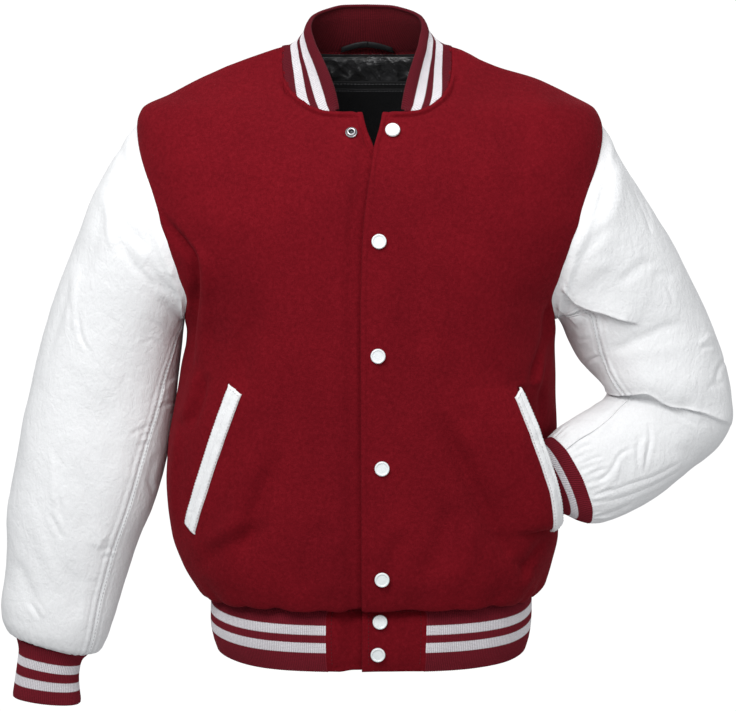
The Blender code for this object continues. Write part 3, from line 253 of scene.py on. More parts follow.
# ---------------------------------------------------------------- forms made of level rings
class Rings:
    """A closed form lofted through level rings. w is the distance along its profile from the first ring."""

    def __init__(self, rows):
        self.rows = table(RING, rows)
        self.level = np.concatenate(([0.0], np.cumsum(np.hypot(np.diff(self.rows["z"]), np.diff(self.rows["front"])))))
        self.top = self.level[-1]
        fine = np.linspace(0.0, self.top, 3001)
        height = curve(self.level, self.rows["z"], fine)
        if height[-1] < height[0]:
            self._w, self._z = fine[::-1], height[::-1]
        else:
            start = int(np.argmin(height))
            self._w, self._z = fine[start:], height[start:]
        self.angles = np.linspace(0, np.pi / 2, 361)
        self.heights = np.linspace(0.0, self.top, 240)
        self.tables = {(s, b): self._arcs(s, b) for s in (1, -1) for b in (False, True)}

    def at(self, z):
        return np.interp(z, self._z, self._w)

    def sizes(self, w):
        return {name: curve(self.level, self.rows[name], w) for name in RING}

    def point(self, angle, w):
        """Point at an angle round the body (0 front, +90 deg towards +X) and profile distance w."""
        angle, w = np.broadcast_arrays(np.asarray(angle, float), np.asarray(w, float))
        ring = self.sizes(w)
        s, c = np.sin(angle), np.cos(angle)
        power = 2.0 / ring["square"]
        side = np.where(s >= 0, ring["plus_x"], ring["minus_x"])
        depth = np.where(c >= 0, ring["front"], ring["back"])
        x = side * np.sign(s) * np.abs(s) ** power
        y = -depth * np.sign(c) * np.abs(c) ** power
        return np.stack([x, y, ring["z"]], axis=-1)

    def normal(self, angle, w):
        angle, w = np.broadcast_arrays(np.asarray(angle, float), np.asarray(w, float))
        round_, up = 2e-3, 5e-4
        across = self.point(angle + round_, w) - self.point(angle - round_, w)
        along = self.point(angle, np.minimum(w + up, self.top)) - self.point(angle, np.maximum(w - up, 0.0))
        turn = 1.0 if self.rows["z"][-1] > self.rows["z"][0] else -1.0
        return unit(np.cross(across, along)) * turn

    def angle_of_x(self, x, w, back=False):
        x, w = np.broadcast_arrays(np.asarray(x, float), np.asarray(w, float))
        ring = self.sizes(w)
        side = np.where(x >= 0, ring["plus_x"], ring["minus_x"])
        share = np.clip(np.abs(x) / side, 0.0, 1.0)
        a = np.arcsin(share ** (ring["square"] / 2.0))
        return np.sign(x) * (np.pi - a) if back else np.sign(x) * a

    def _arcs(self, sign, back):
        base = (np.pi - self.angles if back else self.angles) * sign
        p = self.point(base[None, :], self.heights[:, None])
        d = np.hypot(np.diff(p[..., 0], axis=1), np.diff(p[..., 1], axis=1))
        arc = np.concatenate([np.zeros((len(self.heights), 1)), np.cumsum(d, axis=1)], axis=1)
        share = np.linspace(0, 1, len(self.angles))
        return arc, np.array([np.interp(share * a[-1], a, self.angles) for a in arc])

    def _look(self, grid, w, col):
        n, m = grid.shape
        fw, fc = np.clip(w / self.top, 0, 1) * (n - 1), np.clip(col, 0, 1) * (m - 1)
        i, j = np.minimum(fw.astype(int), n - 2), np.minimum(fc.astype(int), m - 2)
        a, b = fw - i, fc - j
        return ((1 - a) * (1 - b) * grid[i, j] + (1 - a) * b * grid[i, j + 1]
                + a * (1 - b) * grid[i + 1, j] + a * b * grid[i + 1, j + 1])

    def quarter(self, w, sign=1, back=False):
        """Length of a quarter ring, from the centre to the side."""
        w = np.asarray(w, float)
        return self._look(self.tables[sign, back][0], w, np.ones(w.shape))

    def arc_at(self, turn, w, sign=1, back=False):
        """Distance round the ring from the centre, for a turn of 0 to 90 degrees."""
        turn, w = np.broadcast_arrays(np.asarray(turn, float), np.asarray(w, float))
        return self._look(self.tables[sign, back][0], w, turn / (np.pi / 2))

    def angle_at(self, a, w, sign=1, back=False):
        """Angle at distance a round the ring on one side; a small negative a is across the centre."""
        a, w = np.broadcast_arrays(np.asarray(a, float), np.asarray(w, float))
        near = self._look(self.tables[sign, back][1], w, a / self.quarter(w, sign, back))
        across = -self._look(self.tables[-sign, back][1], w, -a / self.quarter(w, -sign, back))
        turn = np.where(a >= 0, near, across)
        return sign * (np.pi - turn) if back else sign * turn

    def arc_of_x(self, x, w, sign=1, back=False):
        """Distance round the ring of the point at x, positive on the side given by sign."""
        x, w = np.broadcast_arrays(np.asarray(x, float), np.asarray(w, float))
        turn = np.abs(self.angle_of_x(np.abs(x) * np.sign(x), w))
        own = self.arc_at(turn, w, sign, back)
        other = -self.arc_at(turn, w, -sign, back)
        return np.where(x * sign >= 0, own, other)


TORSO_FORM = Rings(TORSO)
BAND_FORM = Rings(BAND)
_edges = table(EDGE, EDGES)
_hole = table(ARMHOLE, ARMHOLE_ROWS)
_collar = table(COLLAR, COLLAR_ROWS)


def level_z(w):
    return curve(TORSO_FORM.level, TORSO_FORM.rows["z"], w)


def front_edge(w, side):
    """Distance from the centre of a front's edge, positive into its own side. side 1 is the wearer's left."""
    name = "left_front" if side > 0 else "right_front"
    return TORSO_FORM.arc_of_x(np.interp(level_z(w), _edges["z"], _edges[name]), w, side)


def slit(w):
    """Distance from the centre front of the pocket line, carried on above and below the slit."""
    top, low = TORSO_FORM.at(POCKET_TOP[1]), TORSO_FORM.at(POCKET_LOW[1])
    a_top = TORSO_FORM.arc_of_x(np.array(POCKET_TOP[0]), np.array(top))
    a_low = TORSO_FORM.arc_of_x(np.array(POCKET_LOW[0]), np.array(low))
    t = (w - low) / (top - low)
    line = a_low + (a_top - a_low) * t
    ends = np.where(t < 0, a_low * TORSO_FORM.quarter(w) / TORSO_FORM.quarter(np.array(low)),
                    a_top * TORSO_FORM.quarter(w) / TORSO_FORM.quarter(np.array(top)))
    return np.where((t >= 0) & (t <= 1), line, ends), t


def mouth(t):
    """How far the left pocket gapes along its slit, from 0 at the lower end to 0 at the upper end."""
    return np.sin(np.pi * np.clip(t, 0.0, 1.0) ** 0.42) ** 0.8


def push(a, w, side, beyond, normal):
    """Displacement of a front: the edge of the right front sinks under the left one, and the left pocket gapes,
    its welt side standing forward and its side part pressed back. beyond marks points past the slit."""
    if side < 0:
        edge = -front_edge(w, 1)
        return (-(WOOL_T + LAP) * ramp((edge + 0.025 - a) / 0.016))[..., None] * normal
    line, t = slit(w)
    off = np.abs(a - line)
    reach = TORSO_FORM.quarter(w) - line
    forward = unit(0.45 * normal + np.array([0.0, -0.75, 0.0]))
    back = unit(-0.60 * normal + np.array([0.0, 0.50, 0.0]))
    lifted = MOUTH_LIFT * bump(np.maximum(off - 0.015, 0) / 0.060) - 0.003 * np.maximum(1 - off / 0.015, 0) ** 2
    dented = MOUTH_DENT * bump(np.maximum(off - 0.010, 0) / (reach - 0.010))
    moved = dented[..., None] * back if beyond else lifted[..., None] * forward
    return mouth(t)[..., None] * moved


def hole_point(turn, side):
    """Angle and profile distance of the armhole seam, for turns of 0 (shoulder) to 180 (underarm) to 360 degrees."""
    fine = np.linspace(0, len(ARMHOLE_ROWS) - 1, 600)
    rank = np.arange(len(ARMHOLE_ROWS))
    z = curve(rank, _hole["z"], fine)
    w = TORSO_FORM.at(z)
    turn = np.mod(np.asarray(turn, float), 360.0)
    front, back = (side * np.radians(curve(rank, _hole["front_deg"], fine)),
                   side * (np.pi - np.radians(curve(rank, _hole["back_deg"], fine))))
    found = []
    for angle in (front, back):
        p = TORSO_FORM.point(angle, w)
        run = np.concatenate(([0.0], np.cumsum(np.linalg.norm(np.diff(p, axis=0), axis=1))))
        share = np.where(turn <= 180, turn, 360 - turn) / 180 * run[-1]
        found.append((np.interp(share, run, angle), np.interp(share, run, w)))
    pick = turn <= 180
    return np.where(pick, found[0][0], found[1][0]), np.where(pick, found[0][1], found[1][1])


def neck_line(share, side, back):
    """(distance from centre, profile distance) along the neckline, from the neck point (0) to the centre or edge (1)."""
    rows = table(NECK, NECK_BACK if back else NECK_FRONT)
    rank = np.arange(len(rows["x"]))
    fine = np.linspace(0, rank[-1], 500)
    x, z = curve(rank, rows["x"], fine), curve(rank, rows["z"], fine)
    w = TORSO_FORM.at(z)
    reach = TORSO[-1][1 if side < 0 else 2] / NECK_FRONT[-1][0] - 1
    x = x * (1 + reach * (x / NECK_FRONT[-1][0] if back else ramp((z - NECK_FRONT[0][1]) / 0.045)))
    a = TORSO_FORM.arc_of_x(x * side, w, side, back)
    if not back:
        start = front_edge(np.array(TORSO_FORM.at(NECK_FRONT[0][1])), side)
        if start > 0:
            keep = a > start
            a, w = np.concatenate(([start], a[keep])), np.concatenate(([np.interp(start, a, w)], w[keep]))
        else:
            a, w = np.concatenate(([start], a)), np.concatenate(([w[0]], w))
    p = TORSO_FORM.point(TORSO_FORM.angle_at(a, w, side, back), w)
    run = np.concatenate(([0.0], np.cumsum(np.linalg.norm(np.diff(p, axis=0), axis=1))))
    at = (1 - np.asarray(share, float)) * run[-1]
    return np.interp(at, run, a), np.interp(at, run, w)


def panel(side, back, columns, low, high):
    """Pattern positions (distance from centre, profile distance) of half a body panel.
    columns runs 0 (centre) to 1 (side); low and high are row shares below and above the underarm."""
    form = TORSO_FORM
    under = form.at(ARMHOLE_ROWS[-1][0])
    s = np.asarray(columns, float)

    def row(w):
        w = np.asarray(w, float)
        start = np.zeros(w.shape) if back else front_edge(w, side)
        end = form.quarter(w, side, back) - GAP / 2
        if back:
            line = start + (end - start) * SLIT_SHARE
        else:
            line = slit(w)[0]
        line, start, end = line[..., None], start[..., None], end[..., None]
        welt = line - WELT_WIDE
        inside = np.where(s <= WELT_SHARE, start + (welt - start) * s / WELT_SHARE,
                          welt + (line - welt) * (s - WELT_SHARE) / (SLIT_SHARE - WELT_SHARE))
        return np.where(s <= SLIT_SHARE, inside, line + (end - line) * (s - SLIT_SHARE) / (1 - SLIT_SHARE))

    w_low = np.asarray(low, float) * under
    a_low = row(w_low)
    grid_low = np.stack([a_low, np.broadcast_to(w_low[:, None], a_low.shape)], -1)

    t = np.asarray(high, float)
    bottom = np.stack([row(np.array(under)), np.full(s.shape, under)], -1)
    neck = np.stack(neck_line(1 - np.clip(s / NECK_SHARE, 0, 1), side, back), -1)
    tip = form.at(ARMHOLE_ROWS[0][0])
    shoulder_w = form.top + (tip - form.top) * np.clip((s - NECK_SHARE) / (1 - NECK_SHARE), 0, 1)
    shoulder = np.stack([form.quarter(shoulder_w, side, back) - GAP / 2, shoulder_w], -1)
    upper = np.where((s <= NECK_SHARE)[:, None], neck, shoulder)
    angle, w_hole = hole_point(180 * (1 - t) if not back else 180 + 180 * t, side)
    turn = np.abs(angle) if not back else np.pi - np.abs(angle)
    right = np.stack([np.minimum(form.arc_at(turn, w_hole, side, back), form.quarter(w_hole, side, back) - GAP / 2), w_hole], -1)
    start_w = under + (upper[0, 1] - under) * t
    left = np.stack([np.zeros(t.shape) if back else front_edge(start_w, side), start_w], -1)
    S, T = s[None, :, None], t[:, None, None]
    ruled = (1 - T) * bottom[None] + T * upper[None]
    grid_high = (ruled + np.clip(1 - S / NECK_SHARE, 0, 1) ** 3 * (left[:, None] - ruled[:, :1])
                 + S ** 3 * (right[:, None] - ruled[:, -1:]))
    return np.concatenate([grid_low, grid_high[1:]], axis=0)


# ---------------------------------------------------------------- sleeves and cuffs
def section(rows, side, turn):
    """Points of each section at turns round it: 0 outer side, 90 front, 180 inner side, 270 back."""
    t = table(SECTION, rows)
    outer_edge = np.stack([t["outer_x"], t["y"], t["outer_z"]], -1)
    inner_edge = np.stack([t["inner_x"], t["y"], t["inner_z"]], -1)
    centre, half = (outer_edge + inner_edge) / 2, (outer_edge - inner_edge) / 2
    outer = unit(half)
    down = np.stack([outer[:, 2] * side, np.zeros(len(rows)), -outer[:, 0] * side], -1)
    lean = np.radians(t["lean"])[:, None]
    front = -np.sin(lean) * down + np.cos(lean) * np.array([0.0, -1.0, 0.0])
    turn = np.radians(np.asarray(turn, float))
    c, s = np.cos(turn), np.sin(turn)
    power = (2.0 / t["square"])[:, None]
    c, s = np.sign(c) * np.abs(c) ** power, np.sign(s) * np.abs(s) ** power
    return centre[:, None] + c[..., None] * half[:, None] + (t["deep"][:, None] * s)[..., None] * front[:, None]


class Tube:
    """A form lofted through sections; v runs 0 to 1 along it, turn goes round it. A sleeve starts at the armhole."""

    def __init__(self, rows, side, armhole=False):
        self.side, self.armhole = side, armhole
        self.turns = np.linspace(0.0, 360.0, 241)
        rings = section(rows, side, np.broadcast_to(self.turns, (len(rows), 241)))
        if armhole:
            angle, w = hole_point(self.turns, side)
            rings = np.concatenate([TORSO_FORM.point(angle, w)[None], rings])
            self.hole_normal = TORSO_FORM.normal(angle, w)
        step = np.linalg.norm(np.diff(rings, axis=0), axis=-1).mean(axis=1)
        self.v = np.concatenate(([0.0], np.cumsum(step)))
        self.long = self.v[-1]
        self.v = self.v / self.long
        self.rings = rings

    def point(self, v, turn):
        """v is a 1-D list of shares; turn has a row of turns for each v."""
        v = np.asarray(v, float)
        at = curve(self.v, self.rings, v, even=False)
        turn = np.mod(np.broadcast_to(turn, (len(v), np.shape(turn)[-1])), 360.0)
        f = turn / 360.0 * 240
        i = np.minimum(f.astype(int), 239)
        b = (f - i)[..., None]
        r = np.arange(len(v))[:, None]
        p0, p1, p2, p3 = at[r, (i - 1) % 240], at[r, i], at[r, (i + 1) % 240], at[r, (i + 2) % 240]
        return 0.5 * (2 * p1 + (p2 - p0) * b + (2 * p0 - 5 * p1 + 4 * p2 - p3) * b ** 2 + (3 * p1 - p0 - 3 * p2 + p3) * b ** 3)

    def normal(self, v, turn):
        v = np.asarray(v, float)
        turn = np.broadcast_to(turn, (len(v), np.shape(turn)[-1]))
        e = 1.5e-3
        along = self.point(np.clip(v + e, 0, 1), turn) - self.point(np.clip(v - e, 0, 1), turn)
        around = self.point(v, turn + 1.0) - self.point(v, turn - 1.0)
        return unit(np.cross(around, along)) * self.side

    def wall(self, v, turn):
        """Direction in which the wall's thickness is measured: the body's own normal at the armhole seam."""
        n = self.normal(v, turn)
        if not self.armhole:
            return n
        v = np.asarray(v, float)
        turn = np.mod(np.broadcast_to(turn, n.shape[:2]), 360.0)
        body = np.stack([np.interp(turn, self.turns, self.hole_normal[:, k]) for k in range(3)], -1)
        agree = (n * body).sum(-1, keepdims=True)
        share = bump(v * self.long / 0.010)[:, None, None] * ramp((agree + 0.1) / 0.5)
        return unit(n + share * (body / np.maximum(agree, 0.5) - n))


def seam_turns(v, side):
    t = table(SEAM, SEAMS[side])
    return curve(t["share"], t["front_deg"], v), curve(t["share"], t["back_deg"], v)


# ---------------------------------------------------------------- collar
def collar_stop(side):
    """Share of the front neckline, from the neck point, at which the collar ends."""
    share = np.linspace(0, 1, 400)
    a, w = neck_line(share, side, False)
    x = TORSO_FORM.point(TORSO_FORM.angle_at(a, w, side), w)[:, 0] * side
    return float(np.interp(-COLLAR_END, -x, share))


def collar_base(station, side):
    """Angle and profile distance on the neckline seam at a station, 0 at the centre back to 1 at the collar's front end."""
    station = np.asarray(station, float)
    a_b, w_b = neck_line(1 - np.clip(station / 0.5, 0, 1), side, True)
    a_f, w_f = neck_line(np.clip((station - 0.5) / 0.5, 0, 1) * collar_stop(side), side, False)
    back = station <= 0.5
    angle = np.where(back, TORSO_FORM.angle_at(a_b, w_b, side, True), TORSO_FORM.angle_at(a_f, w_f, side, False))
    return angle, np.where(back, w_b, w_f)


def collar_point(station, q):
    """Collar surface; station runs -1 (wearer's right front end) to 1 (left), q 0 at the neckline to 1 at the top edge."""
    station, q = np.broadcast_arrays(np.asarray(station, float), np.asarray(q, float))
    far = np.abs(station)
    side = np.where(station < 0, -1.0, 1.0)
    base = np.where((station < 0)[..., None], TORSO_FORM.point(*collar_base(far, -1)), TORSO_FORM.point(*collar_base(far, 1)))
    t = _collar
    bend = np.stack([curve(t["station"], t["bend_" + k], far) for k in "xyz"], -1)
    top = np.stack([curve(t["station"], t["top_" + k], far) for k in "xyz"], -1)
    shift = np.array([-0.0040, 0.0, 0.0]) * bump(np.maximum(far - 0.45, 0) / 0.55)[..., None]
    bend = bend * np.stack([side, np.ones_like(side), np.ones_like(side)], -1) + shift
    top = top * np.stack([side, np.ones_like(side), np.ones_like(side)], -1) + shift
    q = q[..., None]
    return (1 - q) ** 2 * base + 2 * q * (1 - q) * bend + q ** 2 * top


def collar_normal(station, q):
    e = 1e-3
    station, q = np.broadcast_arrays(np.asarray(station, float), np.asarray(q, float))
    up = collar_point(station, np.minimum(q + e, 1)) - collar_point(station, np.maximum(q - e, 0))
    along = collar_point(np.minimum(station + e, 1), q) - collar_point(np.maximum(station - e, -1), q)
    return unit(np.cross(up, along))

# ---------------------------------------------------------------- camera
SCENE = bpy.context.scene
EYE, PITCH, FOCAL = np.array([-0.00224, -2.7, -0.0078]), math.radians(7.0), 2429.0
WIDE, HIGH_PX = 736.0, 711.0
AHEAD = np.array([0.0, math.cos(PITCH), -math.sin(PITCH)])
ABOVE = np.array([0.0, math.sin(PITCH), math.cos(PITCH)])

camera = bpy.data.objects.new("camera", bpy.data.cameras.new("camera"))
SCENE.collection.objects.link(camera)
camera.location = EYE
camera.rotation_euler = (math.radians(90) - PITCH, 0, 0)
camera.data.sensor_fit = "HORIZONTAL"
camera.data.sensor_width = 36.0
camera.data.lens = FOCAL / WIDE * 36.0
camera.data.clip_start, camera.data.clip_end = 0.1, 100
SCENE.camera = camera


def seen(p):
    """Where points come in the picture, in its pixels from the upper left corner."""
    d = p - EYE
    depth = d @ AHEAD
    return np.stack([WIDE / 2 + FOCAL * d[..., 0] / depth, HIGH_PX / 2 - FOCAL * (d @ ABOVE) / depth], -1)


# ---------------------------------------------------------------- folds
def path_of(points, step=3.0):
    """A smooth line through the points, as short straight pieces."""
    p = np.array(points, float)
    run = np.concatenate(([0.0], np.cumsum(np.linalg.norm(np.diff(p, axis=0), axis=1))))
    fine = np.linspace(0, run[-1], max(5, int(run[-1] / step) + 1))
    return curve(run, p, fine, even=False) if len(p) > 2 else p[0] + (p[1] - p[0]) * (fine / run[-1])[:, None]


def along(path, q):
    """Signed distance of points q from a path, positive to the right of its direction, and the share along it,
    which runs on below 0 and above 1 past its ends."""
    length = np.linalg.norm(np.diff(path, axis=0), axis=1)
    start = np.concatenate(([0.0], np.cumsum(length)))
    best = np.full(len(q), np.inf)
    off, share, way = np.zeros(len(q)), np.zeros(len(q)), np.zeros((len(q), 2))
    last = len(length) - 1
    for k, (a, b) in enumerate(zip(path[:-1], path[1:])):
        d = (b - a) / length[k]
        f = (q - a) @ d
        near = np.clip(f, 0, length[k])
        r = q - (a + near[:, None] * d)
        dist = (r ** 2).sum(1)
        closer = dist < best
        best = np.where(closer, dist, best)
        cross = d[0] * (q[:, 1] - a[1]) - d[1] * (q[:, 0] - a[0])
        off = np.where(closer, np.where((f < 0) | (f > length[k]), np.sign(cross) * np.sqrt(dist), cross), off)
        beyond = f if k == 0 else near
        beyond = np.where(f > length[k], f, beyond) if k == last else np.maximum(beyond, 0) if k else beyond
        share = np.where(closer, (start[k] + beyond) / start[-1], share)
        way = np.where(closer[:, None], d, way)
    return off, share, way, start[-1]


def profile(kind, s, left, right):
    """Height across a fold for a distance s from its line, 1 at most; left and right are its widths."""
    w = np.where(s < 0, left, right)
    t = np.abs(s) / w
    if kind == "soft":                       # a rounded ridge or trough
        return np.exp(-t ** 2)
    if kind == "crease":                     # a sharp valley between soft shoulders, used with a negative depth
        return np.exp(-t * 1.1) - 0.42 * np.exp(-((t - 2.2) / 1.2) ** 2)
    if kind == "lap":                        # cloth on the right standing over the cloth on the left
        return np.where(s < 0, 1.32 * np.exp(-t ** 1.8) - 0.32 * np.exp(-(t / 2.6) ** 2), np.exp(-t ** 1.4))
    raise ValueError(kind)


def fold_up(points, normals, folds, where, facing=None, over_axes=None):
    """Displacement of points by a table of folds: (kind, depth in mm, left, right, line[, overhang in mm]).
    where gives each point's place on the chart that the lines are drawn on."""
    flat = where.reshape(-1, 2)
    out = np.zeros((len(flat), 3))
    n = normals.reshape(-1, 3)
    weight = np.ones(len(flat)) if facing is None else facing.reshape(-1)
    for fold in folds:
        kind, depth, left, right, line = fold[:5]
        over = fold[5] if len(fold) > 5 else 0.0
        path = path_of(line)
        reach = 3.4 * max(left, right) + 2
        low, high = path.min(0) - reach, path.max(0) + reach
        near = np.flatnonzero(((flat > low) & (flat < high)).all(1) & (weight > 0.01))
        if not len(near):
            continue
        s, share, way, long = along(path, flat[near])
        fade = np.clip(np.minimum(share, 1 - share) * long, None, 1e9)
        tip = 0.30 * long
        ends = ramp(np.clip((fade + 0.04 * long) / tip, 0, 1))
        height = profile(kind, s, left, right) * ends * weight[near]
        out[near] += (depth * 0.001 * height)[:, None] * n[near]
        if over and over_axes is not None:
            side = np.stack([-way[:, 1], way[:, 0]], -1)      # to the right of the line
            lift = np.maximum(profile("soft", s, left * 0.8, right), 0) * ends * weight[near]
            out[near] -= (over * 0.001 * lift)[:, None] * (side[:, :1] * over_axes[0] + side[:, 1:] * over_axes[1])
    return out.reshape(points.shape)


def waves(p, size, seed, count=9):
    """Soft uneven noise, about -1 to 1, with bumps about size metres across."""
    rng = np.random.default_rng(seed)
    total = np.zeros(p.shape[:-1])
    bend = np.zeros(p.shape)
    for axis in range(3):
        d = unit(rng.normal(size=3))
        bend[..., axis] = 0.25 * size * np.sin(2 * np.pi * (p @ d) / (size * 2.3) + rng.random() * 6.28)
    q = p + bend
    for _ in range(count):
        d = unit(rng.normal(size=3))
        total += np.sin(2 * np.pi * (q @ d) / (size * (1.1 + 1.3 * rng.random())) + rng.random() * 6.28)
    return total / math.sqrt(count) * 0.8


def grid_normal(p, like, wrap=False):
    """Normals of a grid of points, on the side of the normals in like."""
    if wrap:
        across = np.roll(p, -1, 1) - np.roll(p, 1, 1)
    else:
        across = np.gradient(p, axis=1)
    n = unit(np.cross(across, np.gradient(p, axis=0)))
    return n * np.sign((n * like).sum(-1, keepdims=True) + 1e-9)


def front_facing(normals):
    return ramp((-(normals @ AHEAD) + 0.12) / 0.40)


# ---------------------------------------------------------------- meshes
COLLECTION = bpy.data.collections.new("varsity_jacket")
SCENE.collection.children.link(COLLECTION)
MADE = {}


def make(name, points, faces, looks, which=None, pats=None, smooth=True):
    mesh = bpy.data.meshes.new(name)
    mesh.from_pydata(points.tolist(), [], faces if isinstance(faces, list) else faces.tolist())
    for look in looks:
        mesh.materials.append(look)
    if which is not None:
        mesh.polygons.foreach_set("material_index", np.asarray(which, np.int32))
    if pats is not None:
        mesh.attributes.new("pat", "FLOAT_VECTOR", "POINT").data.foreach_set("vector", np.asarray(pats, np.float32).reshape(-1))
    if smooth:
        mesh.shade_smooth()
    mesh.update()
    obj = bpy.data.objects.new(name, mesh)
    COLLECTION.objects.link(obj)
    MADE[name] = obj
    return obj


def grid_tris(rows, cols, step=1, wrap=False):
    """Triangles of a grid as grid indices; with step 2, those of its coarser version."""
    i = np.arange(0, rows - 1, step)
    j = np.arange(0, cols if wrap else cols - 1, step)
    i, j = (x.reshape(-1) for x in np.meshgrid(i, j, indexing="ij"))
    k = (j + step) % cols if wrap else j + step
    a, b, c, d = i * cols + j, i * cols + k, (i + step) * cols + k, (i + step) * cols + j
    return np.concatenate([np.stack([a, b, c], 1), np.stack([a, c, d], 1)])


def shell(name, grids, thick, looks, flip=False, wrap=False, step=2, bulge=0.35):
    """A closed cloth wall. grids are (points, normals, pat) arrays that join where their edges coincide. The inside
    is coarser than the outside, and the rim between them is rounded."""
    points, normals, pats, fine, coarse, middle = [], [], [], [], [], {}
    start = 0
    mids = []
    for p, n, pat in grids:
        rows, cols = p.shape[:2]
        points.append(p.reshape(-1, 3)), normals.append(n.reshape(-1, 3)), pats.append(pat.reshape(-1, 3))
        fine.append(start + grid_tris(rows, cols, 1, wrap))
        coarse.append(start + grid_tris(rows, cols, step, wrap))
        if step == 2:
            i, j = (x.reshape(-1) for x in np.meshgrid(np.arange(0, rows, 2), np.arange(0, cols, 2), indexing="ij"))
            down = i + 2 < rows
            mids.append(start + np.stack([i * cols + j, (i + 2) * cols + j, (i + 1) * cols + j], 1)[down])
            if wrap:
                mids.append(start + np.stack([i * cols + j, i * cols + (j + 2) % cols, i * cols + (j + 1) % cols], 1))
            else:
                right = j + 2 < cols
                mids.append(start + np.stack([i * cols + j, i * cols + j + 2, i * cols + j + 1], 1)[right])
        start += rows * cols
    points, normals, pats = (np.concatenate(x) for x in (points, normals, pats))
    _, first, index = np.unique(np.round(points * 2e6).astype(np.int64), axis=0, return_index=True, return_inverse=True)
    index = index.reshape(-1)
    points, normals, pats = points[first], normals[first], pats[first]

    def tidy(faces):
        faces = index[np.concatenate(faces)]
        if flip:
            faces = faces[:, ::-1]
        return faces[(faces[:, 0] != faces[:, 1]) & (faces[:, 1] != faces[:, 2]) & (faces[:, 0] != faces[:, 2])]

    fine, coarse = tidy(fine), tidy(coarse)
    total = len(points)
    edges = np.concatenate([coarse[:, [0, 1]], coarse[:, [1, 2]], coarse[:, [2, 0]]])
    key, back = edges[:, 0] * total + edges[:, 1], edges[:, 1] * total + edges[:, 0]
    rim = edges[~np.isin(key, back)]
    used, inner_of = np.unique(coarse), np.full(total, -1)
    inner_of[used] = total + np.arange(len(used))
    inner = points[used] - thick * normals[used]
    if step == 2:
        for a, b, m in index[np.concatenate(mids)].tolist():
            middle[a, b] = middle[b, a] = m
        chain = [(a, middle[a, b], b) for a, b in rim.tolist()]
    else:
        chain = [(a, None, b) for a, b in rim.tolist()]
    # directions out of the panel along its edge
    out = {}
    for a, m, b in chain:
        for s, e in ((a, b),) if m is None else ((a, m), (m, b)):
            d = np.cross(points[e] - points[s], normals[s])
            d = d / max(np.linalg.norm(d), 1e-12)
            out[s], out[e] = out.get(s, 0) + d, out.get(e, 0) + d
    ring, extra, extra_pat = {}, [], []
    for v, d in out.items():
        ring[v] = total + len(used) + len(extra)
        extra.append(points[v] - 0.5 * thick * normals[v] + bulge * thick * d / max(np.linalg.norm(d), 1e-12))
        extra_pat.append(pats[v])
    strip = []
    for a, m, b in chain:
        ai, bi = inner_of[a], inner_of[b]
        if m is None:
            strip += [(b, a, ring[a]), (b, ring[a], ring[b]), (ring[b], ring[a], ai), (ring[b], ai, bi)]
        else:
            strip += [(m, a, ring[a]), (m, ring[a], ring[m]), (b, m, ring[m]), (b, ring[m], ring[b]),
                      (ring[m], ring[a], ai), (ring[m], ai, bi), (ring[b], ring[m], bi)]
    faces = np.concatenate([fine, np.array(strip), inner_of[coarse][:, ::-1]])
    which = np.concatenate([np.zeros(len(fine) + len(strip)), np.full(len(coarse), min(1, len(looks) - 1))])
    every = np.concatenate([points, inner, np.array(extra)])
    pat = np.concatenate([pats, pats[used], np.array(extra_pat)])
    return make(name, every, faces, looks, which, pat)


def arc_run(p, axis):
    """Distance along each row (axis 1) or column (axis 0) of a grid of points."""
    d = np.linalg.norm(np.diff(p, axis=axis), axis=-1)
    zero = np.zeros_like(np.take(d, [0], axis=axis))
    return np.concatenate([zero, np.cumsum(d, axis=axis)], axis=axis)


def spread(*stops):
    """Shares from stop to stop, each given with the number of steps up to it."""
    out = [stops[0]]
    for end, steps in stops[1:]:
        out += list(np.linspace(out[-1], end, steps + 1)[1:])
    return np.array(out)


# ---------------------------------------------------------------- materials
def start_material(name):
    made = bpy.data.materials.new(name)
    made.use_nodes = True
    made.node_tree.nodes.clear()
    tree = made.node_tree
    out = tree.nodes.new("ShaderNodeOutputMaterial")
    shader = tree.nodes.new("ShaderNodeBsdfPrincipled")
    tree.links.new(shader.outputs[0], out.inputs[0])
    return made, tree, shader


def put(tree, kind, inputs=(), **settings):
    node = tree.nodes.new(kind)
    for key, value in settings.items():
        setattr(node, key, value)
    for key, value in dict(inputs).items():
        socket = node.inputs[key]
        if isinstance(value, bpy.types.NodeSocket):
            tree.links.new(value, socket)
        else:
            socket.default_value = value
    return node


def maths(tree, operation, a, b=0.0, c=0.0):
    return put(tree, "ShaderNodeMath", {0: a, 1: b, 2: c}, operation=operation).outputs[0]


def place(tree, stretch=(1, 1, 1)):
    where = put(tree, "ShaderNodeTexCoord").outputs["Object"]
    if stretch == (1, 1, 1):
        return where
    return put(tree, "ShaderNodeMapping", {"Vector": where, "Scale": stretch}).outputs[0]


def noise(tree, where, scale, detail=2.0, rough=0.5, distort=0.0):
    return put(tree, "ShaderNodeTexNoise", {"Vector": where, "Scale": scale, "Detail": detail, "Roughness": rough,
                                            "Distortion": distort}).outputs["Fac"]


def stops(tree, value, *colours, interpolation="LINEAR"):
    """A colour ramp through (position, colour) rows."""
    node = put(tree, "ShaderNodeValToRGB", {"Fac": value})
    node.color_ramp.interpolation = interpolation
    ramp_ = node.color_ramp.elements
    while len(ramp_) > 1:
        ramp_.remove(ramp_[-1])
    for k, (at, colour) in enumerate(colours):
        e = ramp_[0] if k == 0 else ramp_.new(at)
        e.position = at
        e.color = (*colour, 1.0)
    return node.outputs["Color"]


